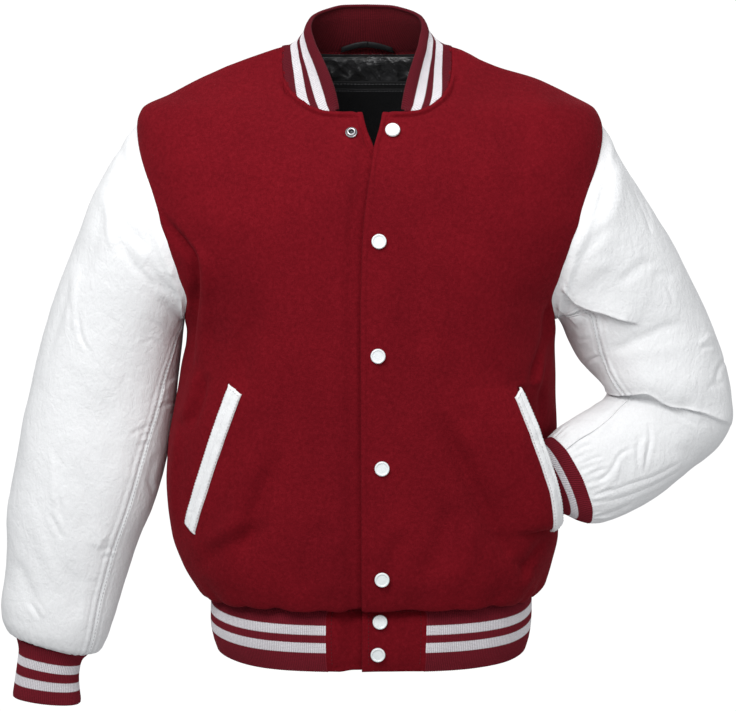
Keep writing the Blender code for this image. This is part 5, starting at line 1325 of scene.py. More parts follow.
LEFT_SLEEVE_FOLDS = (
    ("soft", -2.1, 4, 4, ((603, 134), (607, 163), (603, 189), (598, 209), (591, 222))),
    ("soft", 1.2, 6, 8, ((613, 160), (619, 185), (613, 213), (600, 228))),
    ("crease", -2.1, 1.7, 1.9, ((631, 183), (641, 205), (649, 225), (654, 240))),
    ("crease", -1.6, 1.6, 1.7, ((636, 185), (645, 203), (652, 223))),
    ("soft", -1.5, 6, 7, ((613, 223), (599, 237), (585, 253), (574, 269))),
    ("soft", 1.5, 7, 8, ((612, 258), (592, 272), (576, 288))),
    ("soft", -1.6, 5, 6, ((617, 285), (631, 273), (647, 263), (660, 266))),
    ("soft", -0.9, 4, 5, ((652, 275), (664, 274), (674, 278))),
    ("crease", -1.3, 1.5, 1.6, ((666, 283), (675, 304))),
    ("lap", 7.0, 2.2, 13, ((642, 325), (622, 316), (605, 309), (588, 303), (574, 296), (558, 285)), 3.0),
    ("crease", -3.0, 1.4, 1.4, ((636, 325), (621, 319), (604, 312.5), (587, 306.5), (573, 300), (561, 291))),
    ("soft", -3.0, 6, 7, ((566, 298), (580, 308), (596, 315), (612, 320))),
    ("crease", -2.0, 1.5, 1.6, ((563, 279), (571, 294))),
    ("crease", -1.5, 1.5, 1.6, ((574, 306), (585, 321))),
    ("crease", -1.5, 1.5, 1.6, ((583, 308), (593, 321))),
    ("crease", -1.4, 1.5, 1.6, ((590, 311), (598, 323))),
    ("lap", 3.4, 1.8, 6, ((579, 327), (573, 318), (565, 312), (555, 305)), 1.6),
    ("soft", 1.4, 3, 3.4, ((605, 322), (607, 348), (611, 364), (620, 380))),
    ("crease", -2.3, 1.5, 1.6, ((580, 365), (590, 360), (600, 356))),
    ("crease", -1.0, 1.6, 1.6, ((570, 336), (580, 340), (592, 338))),
    ("soft", -1.0, 4, 4, ((568, 330), (576, 346), (588, 352))),
    ("soft", -1.7, 5, 6, ((608, 349), (621, 347), (635, 340), (647, 335), (663, 328), (685, 323))),
    ("soft", 1.1, 7, 8, ((612, 358), (640, 353), (680, 346), (706, 345))),
    ("soft", 1.1, 3, 3, ((698, 344), (712, 335))),
    ("crease", -1.4, 1.6, 1.6, ((698, 349), (716, 345))),
    ("crease", -2.0, 1.7, 1.9, ((729, 357), (720, 367), (716, 383))),
    ("soft", -1.1, 3.5, 3.5, ((707, 389), (716, 384), (724, 384))),
    ("soft", -0.6, 8, 8, ((640, 372), (668, 366), (700, 372))),
    ("lap", 8.0, 2.4, 20, ((700, 410.5), (690, 406), (679, 402), (667, 397), (657, 390.5), (650, 386.5), (635, 386), (615, 386.5), (603, 386), (592, 382)), 4.0),
    ("lap", 5.0, 2.2, 11, ((733, 425), (725, 421), (718, 418), (709, 414), (695, 408), (684, 404)), 1.2),
    ("crease", -3.2, 1.4, 1.4, ((722, 422), (709, 417), (695, 411), (679, 405), (667, 400.5), (657, 394), (650, 390), (635, 389), (615, 389.5), (604, 388))),
    ("soft", 1.0, 4, 5, ((672, 404), (690, 412), (708, 421))),
    ("crease", -1.6, 1.7, 1.9, ((664, 400), (681, 415), (699, 426))),
    ("crease", -1.1, 1.7, 1.7, ((709, 420), (713, 430), (718, 438))),
    ("crease", -1.1, 1.7, 1.7, ((593, 431), (605, 419), (624, 402))),
    ("soft", 0.7, 3, 3, ((597, 434), (609, 422), (628, 405))),
    ("crease", -2.0, 1.6, 1.7, ((639, 436), (637.5, 458), (641, 478))),
    ("crease", -2.0, 1.6, 1.7, ((648, 418), (650, 440), (646, 460), (643, 476))),
    ("soft", 1.0, 2.2, 2.4, ((645, 436), (643, 470))),
    ("crease", -1.7, 1.6, 1.7, ((593, 487), (611, 470), (621, 454), (636, 447))),
    ("soft", 0.8, 2.4, 2.6, ((596, 494), (615, 477), (620, 462))),
    ("crease", -1.0, 1.6, 1.6, ((584, 409), (612, 408))),
    ("crease", -0.9, 1.6, 1.6, ((572, 420), (596, 418))),
    ("crease", -1.3, 1.6, 1.6, ((598, 497), (625, 486), (655, 476), (688, 458))),
    ("crease", -1.3, 1.6, 1.6, ((594, 505), (625, 497), (655, 485), (690, 464))),
    ("crease", -2.0, 1.6, 1.6, ((594, 517), (611, 513), (634, 503))),
    ("crease", -1.0, 1.6, 1.6, ((640, 500), (664, 488), (700, 462))),
    ("crease", -1.1, 1.5, 1.6, ((574, 455), (583, 447), (594, 444))),
    ("crease", -1.1, 1.5, 1.6, ((582, 465), (592, 459), (604, 456))),
    ("crease", -1.1, 1.5, 1.6, ((587, 476), (598, 471), (610, 468))),
    ("crease", -1.1, 1.5, 1.6, ((591, 498), (603, 492), (616, 488))),
    ("crease", -1.0, 1.5, 1.6, ((566, 446), (576, 440), (586, 438))),
    ("soft", -0.9, 7, 8, ((660, 440), (676, 452), (700, 448))),
)
# Folds of the hidden side of each sleeve, on a chart of mm: turn round the sleeve from its outer side, distance along.
def wrap_lines(*rows):
    return tuple((kind, depth, left, right, tuple((t * 1.35, v) for t, v in line), *rest) for kind, depth, left, right, line, *rest in rows)


def softened(folds, share=0.62):
    """The same folds with the fine creases shallower; the deep ones stay."""
    fine = {"crease": 2.5, "lap": 3.5, "soft": 0.0}
    return tuple((f[0], f[1] * share, f[2] * 1.15, f[3] * 1.15, *f[4:]) if abs(f[1]) < fine[f[0]] else f for f in folds)


RIGHT_SLEEVE_FOLDS, LEFT_SLEEVE_FOLDS = softened(RIGHT_SLEEVE_FOLDS), softened(LEFT_SLEEVE_FOLDS)
HIDDEN_RIGHT = wrap_lines(
    ("soft", -3.0, 8, 9, ((300, 12), (270, 40), (240, 62), (215, 70))),
    ("soft", 2.4, 8, 9, ((292, 24), (262, 56), (236, 78))),
    ("soft", -2.6, 7, 8, ((330, 30), (296, 70), (262, 96), (232, 108))),
    ("soft", -1.8, 9, 10, ((338, 90), (330, 170), (322, 240))),
    ("crease", -2.0, 4, 4, ((262, 150), (236, 158), (212, 156))),
    ("soft", -1.8, 9, 9, ((300, 150), (288, 230), (280, 300))),
    ("crease", -2.2, 4, 5, ((250, 232), (232, 244), (206, 242))),
    ("crease", -1.8, 4, 5, ((258, 262), (236, 266), (208, 270))),
    ("soft", -1.7, 9, 9, ((262, 300), (270, 350), (262, 410))),
    ("crease", -1.6, 4, 5, ((300, 340), (280, 352), (258, 350))),
    ("soft", -1.8, 10, 10, ((330, 300), (318, 370), (322, 440))),
    ("soft", 1.6, 9, 9, ((298, 380), (290, 430), (296, 470))),
    ("soft", -2.0, 8, 8, ((240, 400), (246, 440), (238, 480))),
)
HIDDEN_LEFT = wrap_lines(
    ("soft", -3.0, 8, 9, ((300, 10), (270, 34), (240, 54), (215, 60))),
    ("soft", 2.2, 8, 9, ((292, 22), (262, 48), (236, 66))),
    ("soft", -2.4, 7, 8, ((332, 28), (300, 60), (266, 84), (236, 92))),
    ("soft", -1.8, 9, 9, ((330, 90), (318, 130), (300, 160))),
    ("crease", -2.2, 4, 5, ((262, 128), (236, 138), (208, 140))),
    ("crease", -2.4, 4, 5, ((270, 158), (240, 166), (206, 168))),
    ("lap", 4.0, 5, 14, ((206, 205), (240, 208), (280, 206), (312, 200)), 0.0),
    ("crease", -2.0, 4, 5, ((262, 236), (238, 232), (210, 230))),
    ("soft", -1.7, 9, 9, ((320, 240), (300, 280), (290, 330))),
    ("soft", -1.6, 8, 8, ((262, 270), (256, 310), (250, 350))),
    ("crease", -1.4, 4, 4, ((300, 300), (280, 312), (262, 330))),
)


def sleeve_surface(tube, v, turns, folds, hidden, seed):
    p, n = tube.point(v, turns), tube.wall(v, turns)
    long = tube.long
    s = (v * long)[:, None]
    run = arc_run(p, 1)
    edge = np.minimum(run, run[:, -1:] - run)
    calm = ramp(s / 0.016) * ramp((long - s) / 0.010)
    height = 0.0009 * waves(p, 0.075, seed) * calm + 0.0004 * waves(p, 0.032, seed + 1) * calm
    height = height + 0.00016 * waves(p, 0.0125, seed + 2) * calm
    if seed == 11:
        height = height - 0.0042 * ramp((s / long - 0.66) / 0.16) * np.maximum(-n[..., 0], 0) ** 0.8
    height = height - 0.0007 * bump(s / 0.004) + 0.0016 * bump((s - 0.0085) / 0.0075)
    seam = -0.0013 * bump(edge / 0.0026) + 0.00045 * bump((edge - 0.0045) / 0.0030) - 0.0006 * bump((edge - 0.0085) / 0.0024)
    if seed == 21:                                     # past the elbow the seam is pressed flat on the side that faces up
        seam = seam * (1 - 0.92 * ramp((s / long - 0.52) / 0.06) * front_facing(n))
    height = height + seam
    # gathers into the cuff
    left_over = long - s
    t = np.radians(np.mod(turns, 360.0))
    gather = (np.sin(27 * t + 0.9 * np.sin(2 * t) + seed) + 0.65 * np.sin(43 * t + 1.3 * np.sin(3 * t + 1))) * 0.6
    height = height + 0.00062 * gather * bump((left_over - 0.004) / (0.026 + 0.012 * np.sin(5 * t + 1))) * ramp(left_over / 0.004)
    p = p + height[..., None] * n
    facing = front_facing(n)
    free = ramp((s + 0.002) / 0.012) * ramp((left_over + 0.001) / 0.010)
    moved = fold_up(p, n, folds, seen(p), free * facing,
                    (np.array([1.0, 0.0, 0.0]) * 1.0, np.array([0.0, -0.12, -0.99])))
    chart = np.stack([np.mod(turns, 360.0) * 1.35, np.broadcast_to(s * 1000, turns.shape)], -1)
    moved = moved + fold_up(p, n, hidden, chart, free * ramp((0.9 - facing) / 0.5))
    p = p + moved
    return p, grid_normal(p, n)


def crowded(count, middle, amount):
    """Shares from -1 to 1 that lie closer together round the middle."""
    u = np.linspace(-1, 1, 2001)
    dense = np.cumsum(1 + amount * np.exp(-((u - middle) / 0.42) ** 2))
    dense = (dense - dense[0]) / (dense[-1] - dense[0])
    return np.interp(np.linspace(0, 1, count), dense, u)


OUT_TURNS, IN_TURNS = {-1: crowded(193, 0.50, 1.3), 1: crowded(233, 0.50, 1.6)}, {-1: np.linspace(0, 1, 45), 1: np.linspace(0, 1, 69)}
SLEEVES, SLEEVE_GRIDS = {}, {}
for rows_of, side, word, count, folds, hidden in (
        (SLEEVE_RIGHT, -1, "right", 261, RIGHT_SLEEVE_FOLDS, HIDDEN_RIGHT), (SLEEVE_LEFT, 1, "left", 301, LEFT_SLEEVE_FOLDS, HIDDEN_LEFT)):
    tube = Tube(rows_of, side, armhole=True)
    v = np.linspace(0, 1, count - 4)
    v = np.concatenate([[0, 0.0009, 0.0025], v[1:-1], [0.9975, 0.9990, 1.0]])
    front_turn, back_turn = (turn[:, None] for turn in seam_turns(v, side))
    out = OUT_TURNS[side]
    out = np.concatenate([[-1, -0.9975, -0.993], out[1:-1], [0.993, 0.9975, 1.0]])
    inn = np.concatenate([[0, 0.009, 0.024], IN_TURNS[side][1:-1], [0.976, 0.991, 1.0]])
    upper = np.where(out > 0, front_turn, 360.0 - back_turn) * out
    under = front_turn + (back_turn - front_turn) * inn
    SLEEVES[side] = (tube, folds, hidden, 11 if side < 0 else 21)
    for label, turns in (("upper", upper), ("under", under)):
        p, n = sleeve_surface(tube, v, turns, folds, hidden, 11 if side < 0 else 21)
        p[0] += 0.0002 * unit(p[1] - p[0])
        SLEEVE_GRIDS[word, label] = (p, n)
        shell(f"sleeve_{word}_{label}", [(p, n, no_pat(p))], LEATHER_T, (LEATHER, LEATHER), flip=side < 0)


# ---------------------------------------------------------------- rib knit
def ribbed(p, n, count, amount=0.00038):
    """Rib heights for a grid whose columns run across the ribs, four to a rib."""
    phase = np.arange(p.shape[1]) % 4
    return np.broadcast_to(np.array([1.0, 0.25, -1.0, 0.25])[phase][None, :], p.shape[:2]) * amount


def even_along(lengths_of, start, end, count):
    """count + 1 parameter values from start to end, evenly spaced along the curve."""
    fine = np.linspace(start, end, 4001)
    p = lengths_of(fine)
    run = np.concatenate(([0.0], np.cumsum(np.linalg.norm(np.diff(p, axis=0), axis=1))))
    return np.interp(np.linspace(0, run[-1], count + 1), run, fine), run[-1]


RIB_PITCH = 0.0021
CUFF_STRIPES = {-1: ((0.0160, 0.0260), (0.0370, 0.0475)), 1: ((0.0150, 0.0225), (0.0310, 0.0400))}
for rows_of, side, word in ((CUFF_RIGHT, -1, "right"), (CUFF_LEFT, 1, "left")):
    cuff = Tube(rows_of, side)
    fine = np.linspace(0.0, 360.0, 4001)
    ring = cuff.point(np.array([0.5]), fine[None])[0]
    run = np.concatenate(([0.0], np.cumsum(np.linalg.norm(np.diff(ring, axis=0), axis=1))))
    ribs = int(round(run[-1] / RIB_PITCH))
    turns = np.interp(np.arange(4 * ribs) / (4 * ribs) * run[-1], run, fine)[None]
    v = np.linspace(0, 1, 23)
    v = np.concatenate([[0, 0.012, 0.03], v[1:-1], [0.97, 0.99, 1.0]])
    v = odd(v)
    p, n = cuff.point(v, turns), cuff.normal(v, np.broadcast_to(turns, (len(v), turns.shape[1])))
    s = (v * cuff.long)[:, None]
    t = np.radians(turns)
    height = 0.0007 * waves(p, 0.040, 31 + side) * ramp(s / 0.006)
    height = height + 0.0005 * np.sin(9 * t + 2.5 * s / 0.03) * bump(s / 0.022) - 0.0006 * bump((cuff.long - s) / 0.004)
    height = height + ribbed(p, n, ribs)
    p = p + height[..., None] * n
    pat = np.stack(np.broadcast_arrays(turns * 0.001, s, (ribbed(p, n, ribs) / 0.00038 + 1) / 2), -1)
    look = rib_material("maroon_rib_cuff_" + word, CUFF_STRIPES[side], cuff.long)
    shell(f"cuff_{word}", [(p, grid_normal(p, n, True), pat)], RIB_T, (look, look), flip=side < 0, wrap=True)

# collar: its stripes follow the top edge
ribs = 186
stations, _ = even_along(lambda s: collar_point(s, np.full(s.shape, 0.80)), -1, 1, 4 * ribs)
q = odd(np.concatenate([[0, 0.012, 0.03], np.linspace(0.07, 0.93, 20), [0.965, 0.988, 1.0]]))
p, n = collar_point(stations[None], q[:, None]), collar_normal(stations[None], q[:, None])
far = np.abs(stations)
base_angle, base_w = (np.where(stations < 0, collar_base(far, -1)[k], collar_base(far, 1)[k]) for k in (0, 1))
n[0] = TORSO_FORM.normal(base_angle, base_w)
run = arc_run(p, 0)
down = run[-1:] - run
height = 0.0006 * waves(p, 0.045, 41) * ramp(run / 0.008) + 0.0016 * bump((down - 0.0065) / 0.0095) * ramp(down / 0.0022) - 0.0008 * bump(down / 0.0022)
height = height + 0.0007 * bump((run - 0.003) / 0.004)
smooth = p + height[..., None] * n
rib = ribbed(p, n, ribs, 0.00032)
side_bump = bump((far - 0.53) / 0.36)
cut = down * (1 + 0.34 * side_bump[None])
cut = cut + 0.0034 * ramp((cut - 0.0245) / 0.0060) * side_bump[None]
pat = np.stack(np.broadcast_arrays(stations[None] * 0.2, cut, (ribbed(p, n, ribs, 1.0) + 1) / 2), -1)
# The collar's maroon is darker than the cuffs' and waistband's: painted shade against the light that falls on its top.
# Its inside, without stripes, is darker still: painted shade inside the collar.
look = rib_material("maroon_rib_collar_painted_shade", ((0.0128, 0.0240), (0.0325, 0.0440)), 0.074, maroon=(0.120, 0.0085, 0.0160))
plain = rib_material("maroon_rib_inside_painted_shade", (), 0.062, maroon=(0.098, 0.0062, 0.0105))
collar_n = grid_normal(smooth, n)
shell("collar", [(smooth + rib[..., None] * collar_n, collar_n, pat)], RIB_T, (look, plain), flip=True, step=1)


# waistband and its two wool tabs
def band_angle(x):
    return float(BAND_FORM.angle_of_x(np.array(x), np.array(BAND_FORM.at(-0.64))))


def band_surface(angles, w, sink=0.0):
    p = BAND_FORM.point(angles[None], w[:, None])
    n = BAND_FORM.normal(angles[None], w[:, None])
    p = p - (sink * np.ones(len(angles)))[None, :, None] * n
    height = 0.0006 * waves(p, 0.055, 51) + 0.0004 * np.sin(34 * angles[None] + 1.5 * np.sin(5 * angles[None])) * bump((w[:, None] - 0.004) / 0.020)
    lifted = 0.0055 * np.abs(np.sin(angles)) ** 5
    p = p + height[..., None] * n + lifted[None, :, None] * np.array([0.0, 0.0, 1.0])
    return p, n


seam = GAP / 2 / 0.18
start, end = band_angle(TAB_LEFT) + seam, band_angle(TAB_RIGHT) + 2 * math.pi - seam
angles, long = even_along(lambda a: BAND_FORM.point(a, np.full(a.shape, BAND_FORM.at(-0.64))), start, end, 10)
ribs = int(round(long / RIB_PITCH))
angles, _ = even_along(lambda a: BAND_FORM.point(a, np.full(a.shape, BAND_FORM.at(-0.64))), start, end, 4 * ribs)
w = BAND_FORM.top * odd(np.concatenate([[0, 0.02], np.linspace(0.06, 0.94, 11), [0.975, 0.992, 1.0]]))
p, n = band_surface(angles, w)
rib = ribbed(p, n, ribs)
p = p + rib[..., None] * n
pat = np.stack(np.broadcast_arrays(angles[None] * 0.15, w[:, None], (rib / 0.00038 + 1) / 2), -1)
look = rib_material("maroon_rib_band", ((0.0232, 0.0335), (0.0423, 0.0532)), BAND_FORM.top)
shell("waistband_rib", [(p, grid_normal(p, n), pat)], RIB_T, (look, look), flip=True)

TABS = {}
TAB_W = BAND_FORM.top * odd(np.concatenate([[0, 0.008, 0.02], np.linspace(0.04, 0.96, 30), [0.98, 0.992, 1.0]]))
LAP_EDGE, LAP_UNDER = band_angle(-0.0083), band_angle(0.0300)
for name, a0, a1, under in (("waist_tab_left", LAP_EDGE, band_angle(TAB_LEFT) - seam, False),
                            ("waist_tab_right", band_angle(TAB_RIGHT) + seam, LAP_UNDER, True)):
    share = odd(np.concatenate([[0, 0.010, 0.025], np.linspace(0.05, 0.95, 29), [0.975, 0.990, 1.0]]))
    angles = a0 + (a1 - a0) * share
    sink = (RIB_T + LAP) * ramp((angles - (LAP_EDGE - 0.100)) / 0.070) if under else 0.0
    p, n = band_surface(angles, TAB_W, sink)
    side_run = arc_run(p, 1)
    edge = np.minimum(np.minimum(side_run, side_run[:, -1:] - side_run), (TAB_W[-1] - TAB_W)[:, None])
    height = 0.0003 * waves(p, 0.020, 61) - 0.0006 * bump((edge - 0.0068) / 0.0022) - 0.0004 * bump(edge / 0.002)
    p = p + height[..., None] * n
    TABS[name] = (p, grid_normal(p, n))
    shell(name, [(p, TABS[name][1], no_pat(p))], RIB_T, (WOOL, WOOL), flip=True)

# ---------------------------------------------------------------- pocket welts
WELTS = {}
for side, name, folds in ((-1, "welt_right", RIGHT_FRONT_FOLDS), (1, "welt_left", LEFT_FRONT_FOLDS)):
    top, low = TORSO_FORM.at(POCKET_TOP[1]) - 0.0022, TORSO_FORM.at(POCKET_LOW[1]) + 0.0030
    if side > 0:
        top, low = top - 0.0040, low + 0.0030
    across = np.array([0, 0.02, 0.06, 0.12, 0.20, 0.28, 0.36, 0.43, 0.47, 0.50, 0.53, 0.57, 0.64, 0.72, 0.80, 0.88, 0.94, 0.98, 1.0])
    up = odd(np.concatenate([[0, 0.003, 0.008, 0.015], np.linspace(0.03, 0.97, 88), [0.985, 0.992, 0.997, 1.0]]))
    w = low + (top - low) * up[:, None] + 0.0105 * (across[None] - 0.5)
    line, t = slit(w)
    s, u = across[None], up[:, None]
    if side < 0:
        a = line - 0.0205 * (1 - s) - 0.0062
    else:
        a = line - (0.0138 + 0.0050 * (1 - ramp(u / 0.38))) * (1 - s) + 0.0010 + 0.0024 * np.sin(np.pi * np.clip(u, 0, 1)) ** 0.8 + 0.0022 * (1 - ramp(u / 0.6)) + 0.0030 * u
    p, n, _ = body_surface(np.stack([a, w], -1), side, False, False, folds)
    ends = ramp(np.minimum(u, 1 - u) / 0.010)
    height = 0.0029 * (1 - np.abs(2 * s - 1) ** 9) * (0.70 + 0.30 * ends) - 0.0012 * np.exp(-((s - 0.50) / 0.035) ** 2) * ends
    height = height + 0.00045 * waves(p, 0.022, 71 + side) * ends
    if side > 0:
        height = height + 0.0040 * s * np.sin(np.pi * np.clip(0.12 + 0.88 * u, 0, 1)) ** 0.7
    outer = p + (0.0004 + height)[..., None] * n
    pat = no_pat(p)
    WELTS[side] = (outer, grid_normal(outer, n))
    shell(name, [(outer, WELTS[side][1], pat)], 0.0020, (LEATHER, LEATHER), flip=side < 0, step=2)


# ---------------------------------------------------------------- inside of the back neck
INSIDE = {}


def back_inside(name, columns, rows, lift, thick, look, wave, seed):
    """A piece laid on the inside of the back: rows are shares from the underarm up to the neckline."""
    halves = [body_surface(panel(side, True, columns, np.array([1.0]), rows), side, True, False) for side in (1, -1)]
    p, n = (np.concatenate([halves[0][k][:, ::-1], halves[1][k][:, 1:]], axis=1) for k in (0, 1))
    p, n = p[1:], n[1:]
    n = grid_normal(p, n)
    u = np.linspace(0, 1, p.shape[0])[:, None]
    s = np.abs(np.linspace(-1, 1, p.shape[1]))[None]
    calm = ramp(np.minimum(u, (1 - u) * 2) / 0.10) * ramp((1 - s) / 0.10)
    height = wave(p) * calm
    p = p - (lift + height)[..., None] * n
    INSIDE[name] = (p - thick * n, grid_normal(p, n))
    return shell(name, [(p, grid_normal(p, n), no_pat(p))], thick, (look, look), step=1)


def satin_folds(p):
    """Crumpled satin: folds that fan out from the neck, some of them sharp."""
    x, z = p[..., 0] * 1000, p[..., 2] * 1000
    bend = x + 6 * np.sin(z / 9 + 1) + 3 * np.sin(z / 4.2 + x / 19)
    a = 1 - np.abs(np.sin(bend / 6.2 + 0.045 * z))
    b = 1 - np.abs(np.sin((x * 0.75 + z * 1.25) / 6.4 + 0.9 * np.sin(x / 13)))
    c = 1 - np.abs(np.sin((x * 0.55 - z * 1.30) / 8.2 + 0.9 * np.sin(x / 17 + 2)))
    return 0.0034 * a ** 1.3 + 0.0014 * b ** 1.6 + 0.0018 * c ** 1.6 + 0.0008 * (waves(p, 0.014, 81) + 1) * 0.5


# ---------------------------------------------------------------- snaps, stud and hang loop
def turned(name, centre, axis, profile, looks, steps=48, rows_of_second=()):
    """A solid of revolution; profile rows are (radius, height) from the axis at the top to the axis at the bottom."""
    axis = unit(np.asarray(axis, float))
    one = unit(np.cross(axis, [0.0, 0.0, 1.0]))
    two = np.cross(axis, one)
    angle = np.linspace(0, 2 * math.pi, steps + 1)[:-1]
    spin = np.cos(angle)[:, None] * one + np.sin(angle)[:, None] * two
    points = [centre + axis * profile[0][1]]
    for radius, h in profile[1:-1]:
        points += list(centre + axis * h + radius * spin)
    points.append(centre + axis * profile[-1][1])
    faces, which = [], []
    rings = len(profile) - 2
    for k in range(steps):
        m = (k + 1) % steps
        faces.append((0, 1 + k, 1 + m)), which.append(0 in rows_of_second)
        for r in range(rings - 1):
            a, b = 1 + r * steps, 1 + (r + 1) * steps
            faces.append((a + k, b + k, b + m, a + m)), which.append((r + 1) in rows_of_second)
        last = 1 + (rings - 1) * steps
        faces.append((last + k, len(points) - 1, last + m)), which.append(rings in rows_of_second)
    return make(name, np.array(points), faces, looks, np.array(which, int))


def on_cloth(x, z):
    """The plain form's place and direction at a snap."""
    form = BAND_FORM if z < -0.6 else TORSO_FORM
    w = form.at(z)
    angle = form.angle_of_x(np.array(x), np.array(w))
    return form.point(angle, w), form.normal(angle, w)


CAP = ((0, 0.0029), (0.0030, 0.0029), (0.0050, 0.0028), (0.0055, 0.0028), (0.0060, 0.0033), (0.0066, 0.0037), (0.0072, 0.0036),
       (0.0077, 0.0031), (0.0080, 0.0022), (0.0080, 0.0013), (0.0077, 0.0006), (0.0070, 0.0003), (0, 0.0003))
for name, x, z in SNAPS:
    centre, axis = on_cloth(x, z)
    turned(name, centre + 0.0004 * axis, axis, CAP, (ENAMEL,))
centre, axis = on_cloth(*STUD)
STUD_ROWS = ((0, 0.0010), (0.0008, 0.0010), (0.0014, 0.0011), (0.0019, 0.0012), (0.0023, 0.0017), (0.0026, 0.0028), (0.0031, 0.0035),
             (0.0038, 0.0036), (0.0044, 0.0033), (0.0048, 0.0024), (0.0050, 0.0017), (0.0060, 0.0014), (0.0064, 0.0011), (0.0062, 0.0006), (0, 0.0004))
# the sunken centre of the stud gets the near-black metal: painted shade
turned("snap_stud", centre + 0.0003 * axis, axis, STUD_ROWS, (NICKEL, STUD_HOLLOW_SHADE), rows_of_second=(0, 1, 2, 3, 4))

span = np.linspace(-1, 1, 49)
x_at = collar_point(np.linspace(-0.4, 0.4, 81), np.full(81, 0.10))[:, 0]
station = np.interp(-0.003 + 0.0315 * span, x_at, np.linspace(-0.4, 0.4, 81))
bow = 1 - np.abs(span) ** 2.2
rows = []
for k, wide in enumerate(np.linspace(-1, 1, 7)):
    at_q = 0.16 + 0.17 * bow - 0.055 * wide
    c, n = collar_point(station, at_q), collar_normal(station, at_q)
    rows.append(c - (RIB_T + 0.0018 + 0.0040 * bow + 0.0009 * (1 - wide ** 2))[:, None] * n)
p = np.stack(rows)
n = grid_normal(p, np.broadcast_to(collar_normal(station, np.full(49, 0.2))[None], p.shape))
shell("hang_loop", [(p, n, no_pat(p))], 0.0016, (BLACK, BLACK), flip=True, step=1)

back_inside("lining", np.linspace(0, 0.576, 79), np.concatenate([np.linspace(0.26, 0.80, 38), np.linspace(0.812, 0.988, 46)]), WOOL_T + 0.0010, 0.0008, SATIN, satin_folds, 1)
back_inside("locker_patch", np.linspace(0, 0.40, 41), np.linspace(0.44, 0.888, 42), WOOL_T + 0.0085, 0.0012, PATCH,
            lambda p: 0.0003 * waves(p, 0.030, 91), 2)
back_inside("neck_label", np.linspace(0, 0.165, 25), np.linspace(0.56, 0.853, 25), WOOL_T + 0.0103, 0.0010, BLACK,
            lambda p: 0.0002 * waves(p, 0.030, 92), 3)

# ---------------------------------------------------------------- stitching
def across_at(p, n, distance, from_end=False, axis=1):
    """The line on a grid at a distance in from one of its edges, with its normals. axis 1 measures along rows."""
    if axis == 0:
        p, n = p.transpose(1, 0, 2), n.transpose(1, 0, 2)
    if from_end:
        p, n = p[:, ::-1], n[:, ::-1]
    run = arc_run(p, 1)
    line = np.array([[np.interp(distance, run[i], p[i, :, k]) for k in range(3)] for i in range(len(p))])
    way = np.array([[np.interp(distance, run[i], n[i, :, k]) for k in range(3)] for i in range(len(p))])
    return line, unit(way)


def stitches(name, lines, look, long=0.0030, gap=0.0013, wide=0.00042, up=0.00030, trim=0.002):
    """Rows of thread on the cloth: each stitch is a short rod that comes up out of the cloth and goes down again."""
    points, faces = [], []
    for line, normal in lines:
        run = np.concatenate(([0.0], np.cumsum(np.linalg.norm(np.diff(line, axis=0), axis=1))))
        count = int((run[-1] - 2 * trim) / (long + gap))
        for k in range(count):
            s = trim + k * (long + gap) + np.array([0, 0.25, 0.75, 1.0]) * long
            c = np.stack([np.interp(s, run, line[:, j]) for j in range(3)], -1)
            m = unit(np.stack([np.interp(s, run, normal[:, j]) for j in range(3)], -1))
            way = unit(c[-1] - c[0])
            side = unit(np.cross(way[None], m))
            c = c + np.array([-0.5, 1.0, 1.0, -0.5])[:, None] * up * m
            r = np.array([0.55, 1.0, 1.0, 0.55])[:, None] * wide
            start = len(points)
            for q in range(4):
                points += [c[q] + r[q] * side[q], c[q] + r[q] * m[q] * 0.8, c[q] - r[q] * side[q], c[q] - r[q] * m[q] * 0.8]
            faces.append((start + 3, start + 2, start + 1, start))
            for q in range(3):
                a, b = start + 4 * q, start + 4 * q + 4
                faces += [(a + j, a + (j + 1) % 4, b + (j + 1) % 4, b + j) for j in range(4)]
            faces.append((start + 12, start + 13, start + 14, start + 15))
    return make(name, np.array(points), faces, (look,))


def stitch_on(piece, lines, look, **sizes):
    stitches(piece + "_stitches", lines, look, **sizes)


for word in ("right", "left"):
    for part, edges in (("upper", (True, False)), ("under", (False, True))):
        p, n = SLEEVE_GRIDS[word, part]
        # edges[0] is the front seam; on the bent arm its stitches stop at the elbow
        ends = (int(0.54 * len(p)) if word == "left" else None, None)
        stitch_on(f"sleeve_{word}_{part}", [across_at(p[3:end:2], n[3:end:2], 0.0030, edge) for edge, end in zip(edges, ends)], WHITE_THREAD)
for side, name in ((-1, "welt_right"), (1, "welt_left")):
    p, n = WELTS[side]
    lines = [across_at(p, n, 0.0022, False), across_at(p, n, 0.0022, True),
             across_at(p, n, 0.0030, False, axis=0), across_at(p, n, 0.0030, True, axis=0)]
    stitch_on(name, lines, WHITE_THREAD, long=0.0026, gap=0.0012, wide=0.00036, trim=0.003)
for name in ("waist_tab_left", "waist_tab_right"):
    p, n = TABS[name]
    lines = [across_at(p, n, 0.0068, False, axis=0), across_at(p, n, 0.0068, False), across_at(p, n, 0.0068, True)]
    stitch_on(name, lines, RED_THREAD, long=0.0028, gap=0.0012, wide=0.00038, trim=0.004)
p, n = INSIDE["locker_patch"]
stitch_on("locker_patch", [across_at(p, -n, 0.0030, True, axis=0), across_at(p, -n, 0.0105, True, axis=0)], GREY_THREAD,
          long=0.0030, gap=0.0010, wide=0.00030)
p, n = INSIDE["neck_label"]
stitch_on("neck_label", [across_at(p, -n, 0.0025, True, axis=0), across_at(p, -n, 0.0025, False), across_at(p, -n, 0.0025, True)],
          GREY_THREAD, long=0.0022, gap=0.0010, wide=0.00026)
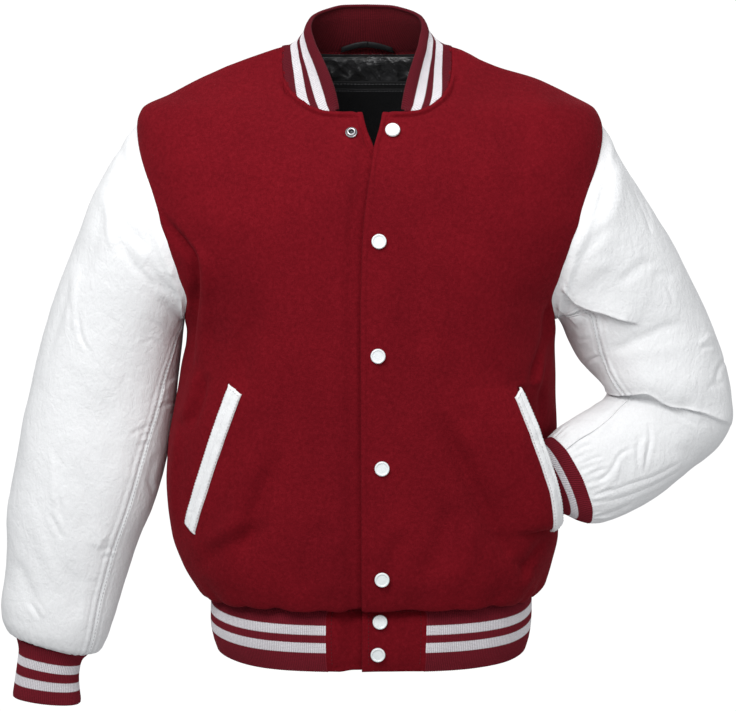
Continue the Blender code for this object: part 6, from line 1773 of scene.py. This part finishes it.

# ---------------------------------------------------------------- every piece hangs from the root, and the CAD part of the same name is hidden
for name, obj in MADE.items():
    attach(obj, "root")
    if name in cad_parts:
        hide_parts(name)


# ---------------------------------------------------------------- stage
def plain_material(name, colour, rough):
    made = bpy.data.materials.new(name)
    made.use_nodes = True
    shader = made.node_tree.nodes["Principled BSDF"]
    shader.inputs["Base Color"].default_value = (*colour, 1.0)
    shader.inputs["Roughness"].default_value = rough
    return made


floor_mesh = bpy.data.meshes.new("floor")
ring = [(11.0 * math.cos(t), 11.0 * math.sin(t), -4.2) for t in np.linspace(0, 2 * math.pi, 65)[:-1]]
floor_mesh.from_pydata(ring, [], [tuple(range(64))])
floor_mesh.materials.append(plain_material("floor", (0.86, 0.86, 0.865), 0.9))
floor = bpy.data.objects.new("floor", floor_mesh)
SCENE.collection.objects.link(floor)

world = bpy.data.worlds.new("studio")
SCENE.world = world
world.use_nodes = True
tree = world.node_tree
tree.nodes.clear()
lit = tree.nodes.new("ShaderNodeBackground")
lit.inputs["Color"].default_value = (0.97, 0.985, 1.0, 1.0)
lit.inputs["Strength"].default_value = 0.45
white = tree.nodes.new("ShaderNodeBackground")
white.inputs["Color"].default_value = (1.0, 1.0, 1.0, 1.0)
white.inputs["Strength"].default_value = 1.05
path = tree.nodes.new("ShaderNodeLightPath")
mixed = tree.nodes.new("ShaderNodeMixShader")
output = tree.nodes.new("ShaderNodeOutputWorld")
tree.links.new(path.outputs["Is Camera Ray"], mixed.inputs[0])
tree.links.new(lit.outputs[0], mixed.inputs[1])
tree.links.new(white.outputs[0], mixed.inputs[2])
tree.links.new(mixed.outputs[0], output.inputs[0])


def softbox(name, where, at, wide, high, power):
    data = bpy.data.lights.new(name, "AREA")
    data.shape, data.size, data.size_y, data.energy = "RECTANGLE", wide, high, power
    obj = bpy.data.objects.new(name, data)
    SCENE.collection.objects.link(obj)
    obj.location = where
    from mathutils import Vector
    obj.rotation_euler = (Vector(at) - Vector(where)).to_track_quat("-Z", "Y").to_euler()
    return obj


softbox("key", (-0.62, -1.42, 0.86), (0.0, -0.05, -0.24), 1.15, 0.9, 24.8)
softbox("fill", (1.10, -1.70, 0.15), (0.0, -0.05, -0.35), 1.2, 1.4, 6.4)
softbox("overhead", (0.0, -0.55, 1.50), (0.0, -0.02, -0.2), 1.8, 1.0, 8.0)
softbox("back_light", (0.3, 2.0, 0.8), (0.0, 0.0, -0.30), 1.8, 1.4, 12)
SCENE.view_settings.view_transform = "Standard"
SCENE.view_settings.look = "None"
SCENE.view_settings.exposure = 0.0
SCENE.view_settings.gamma = 1.0

bpy.context.view_layer.update()
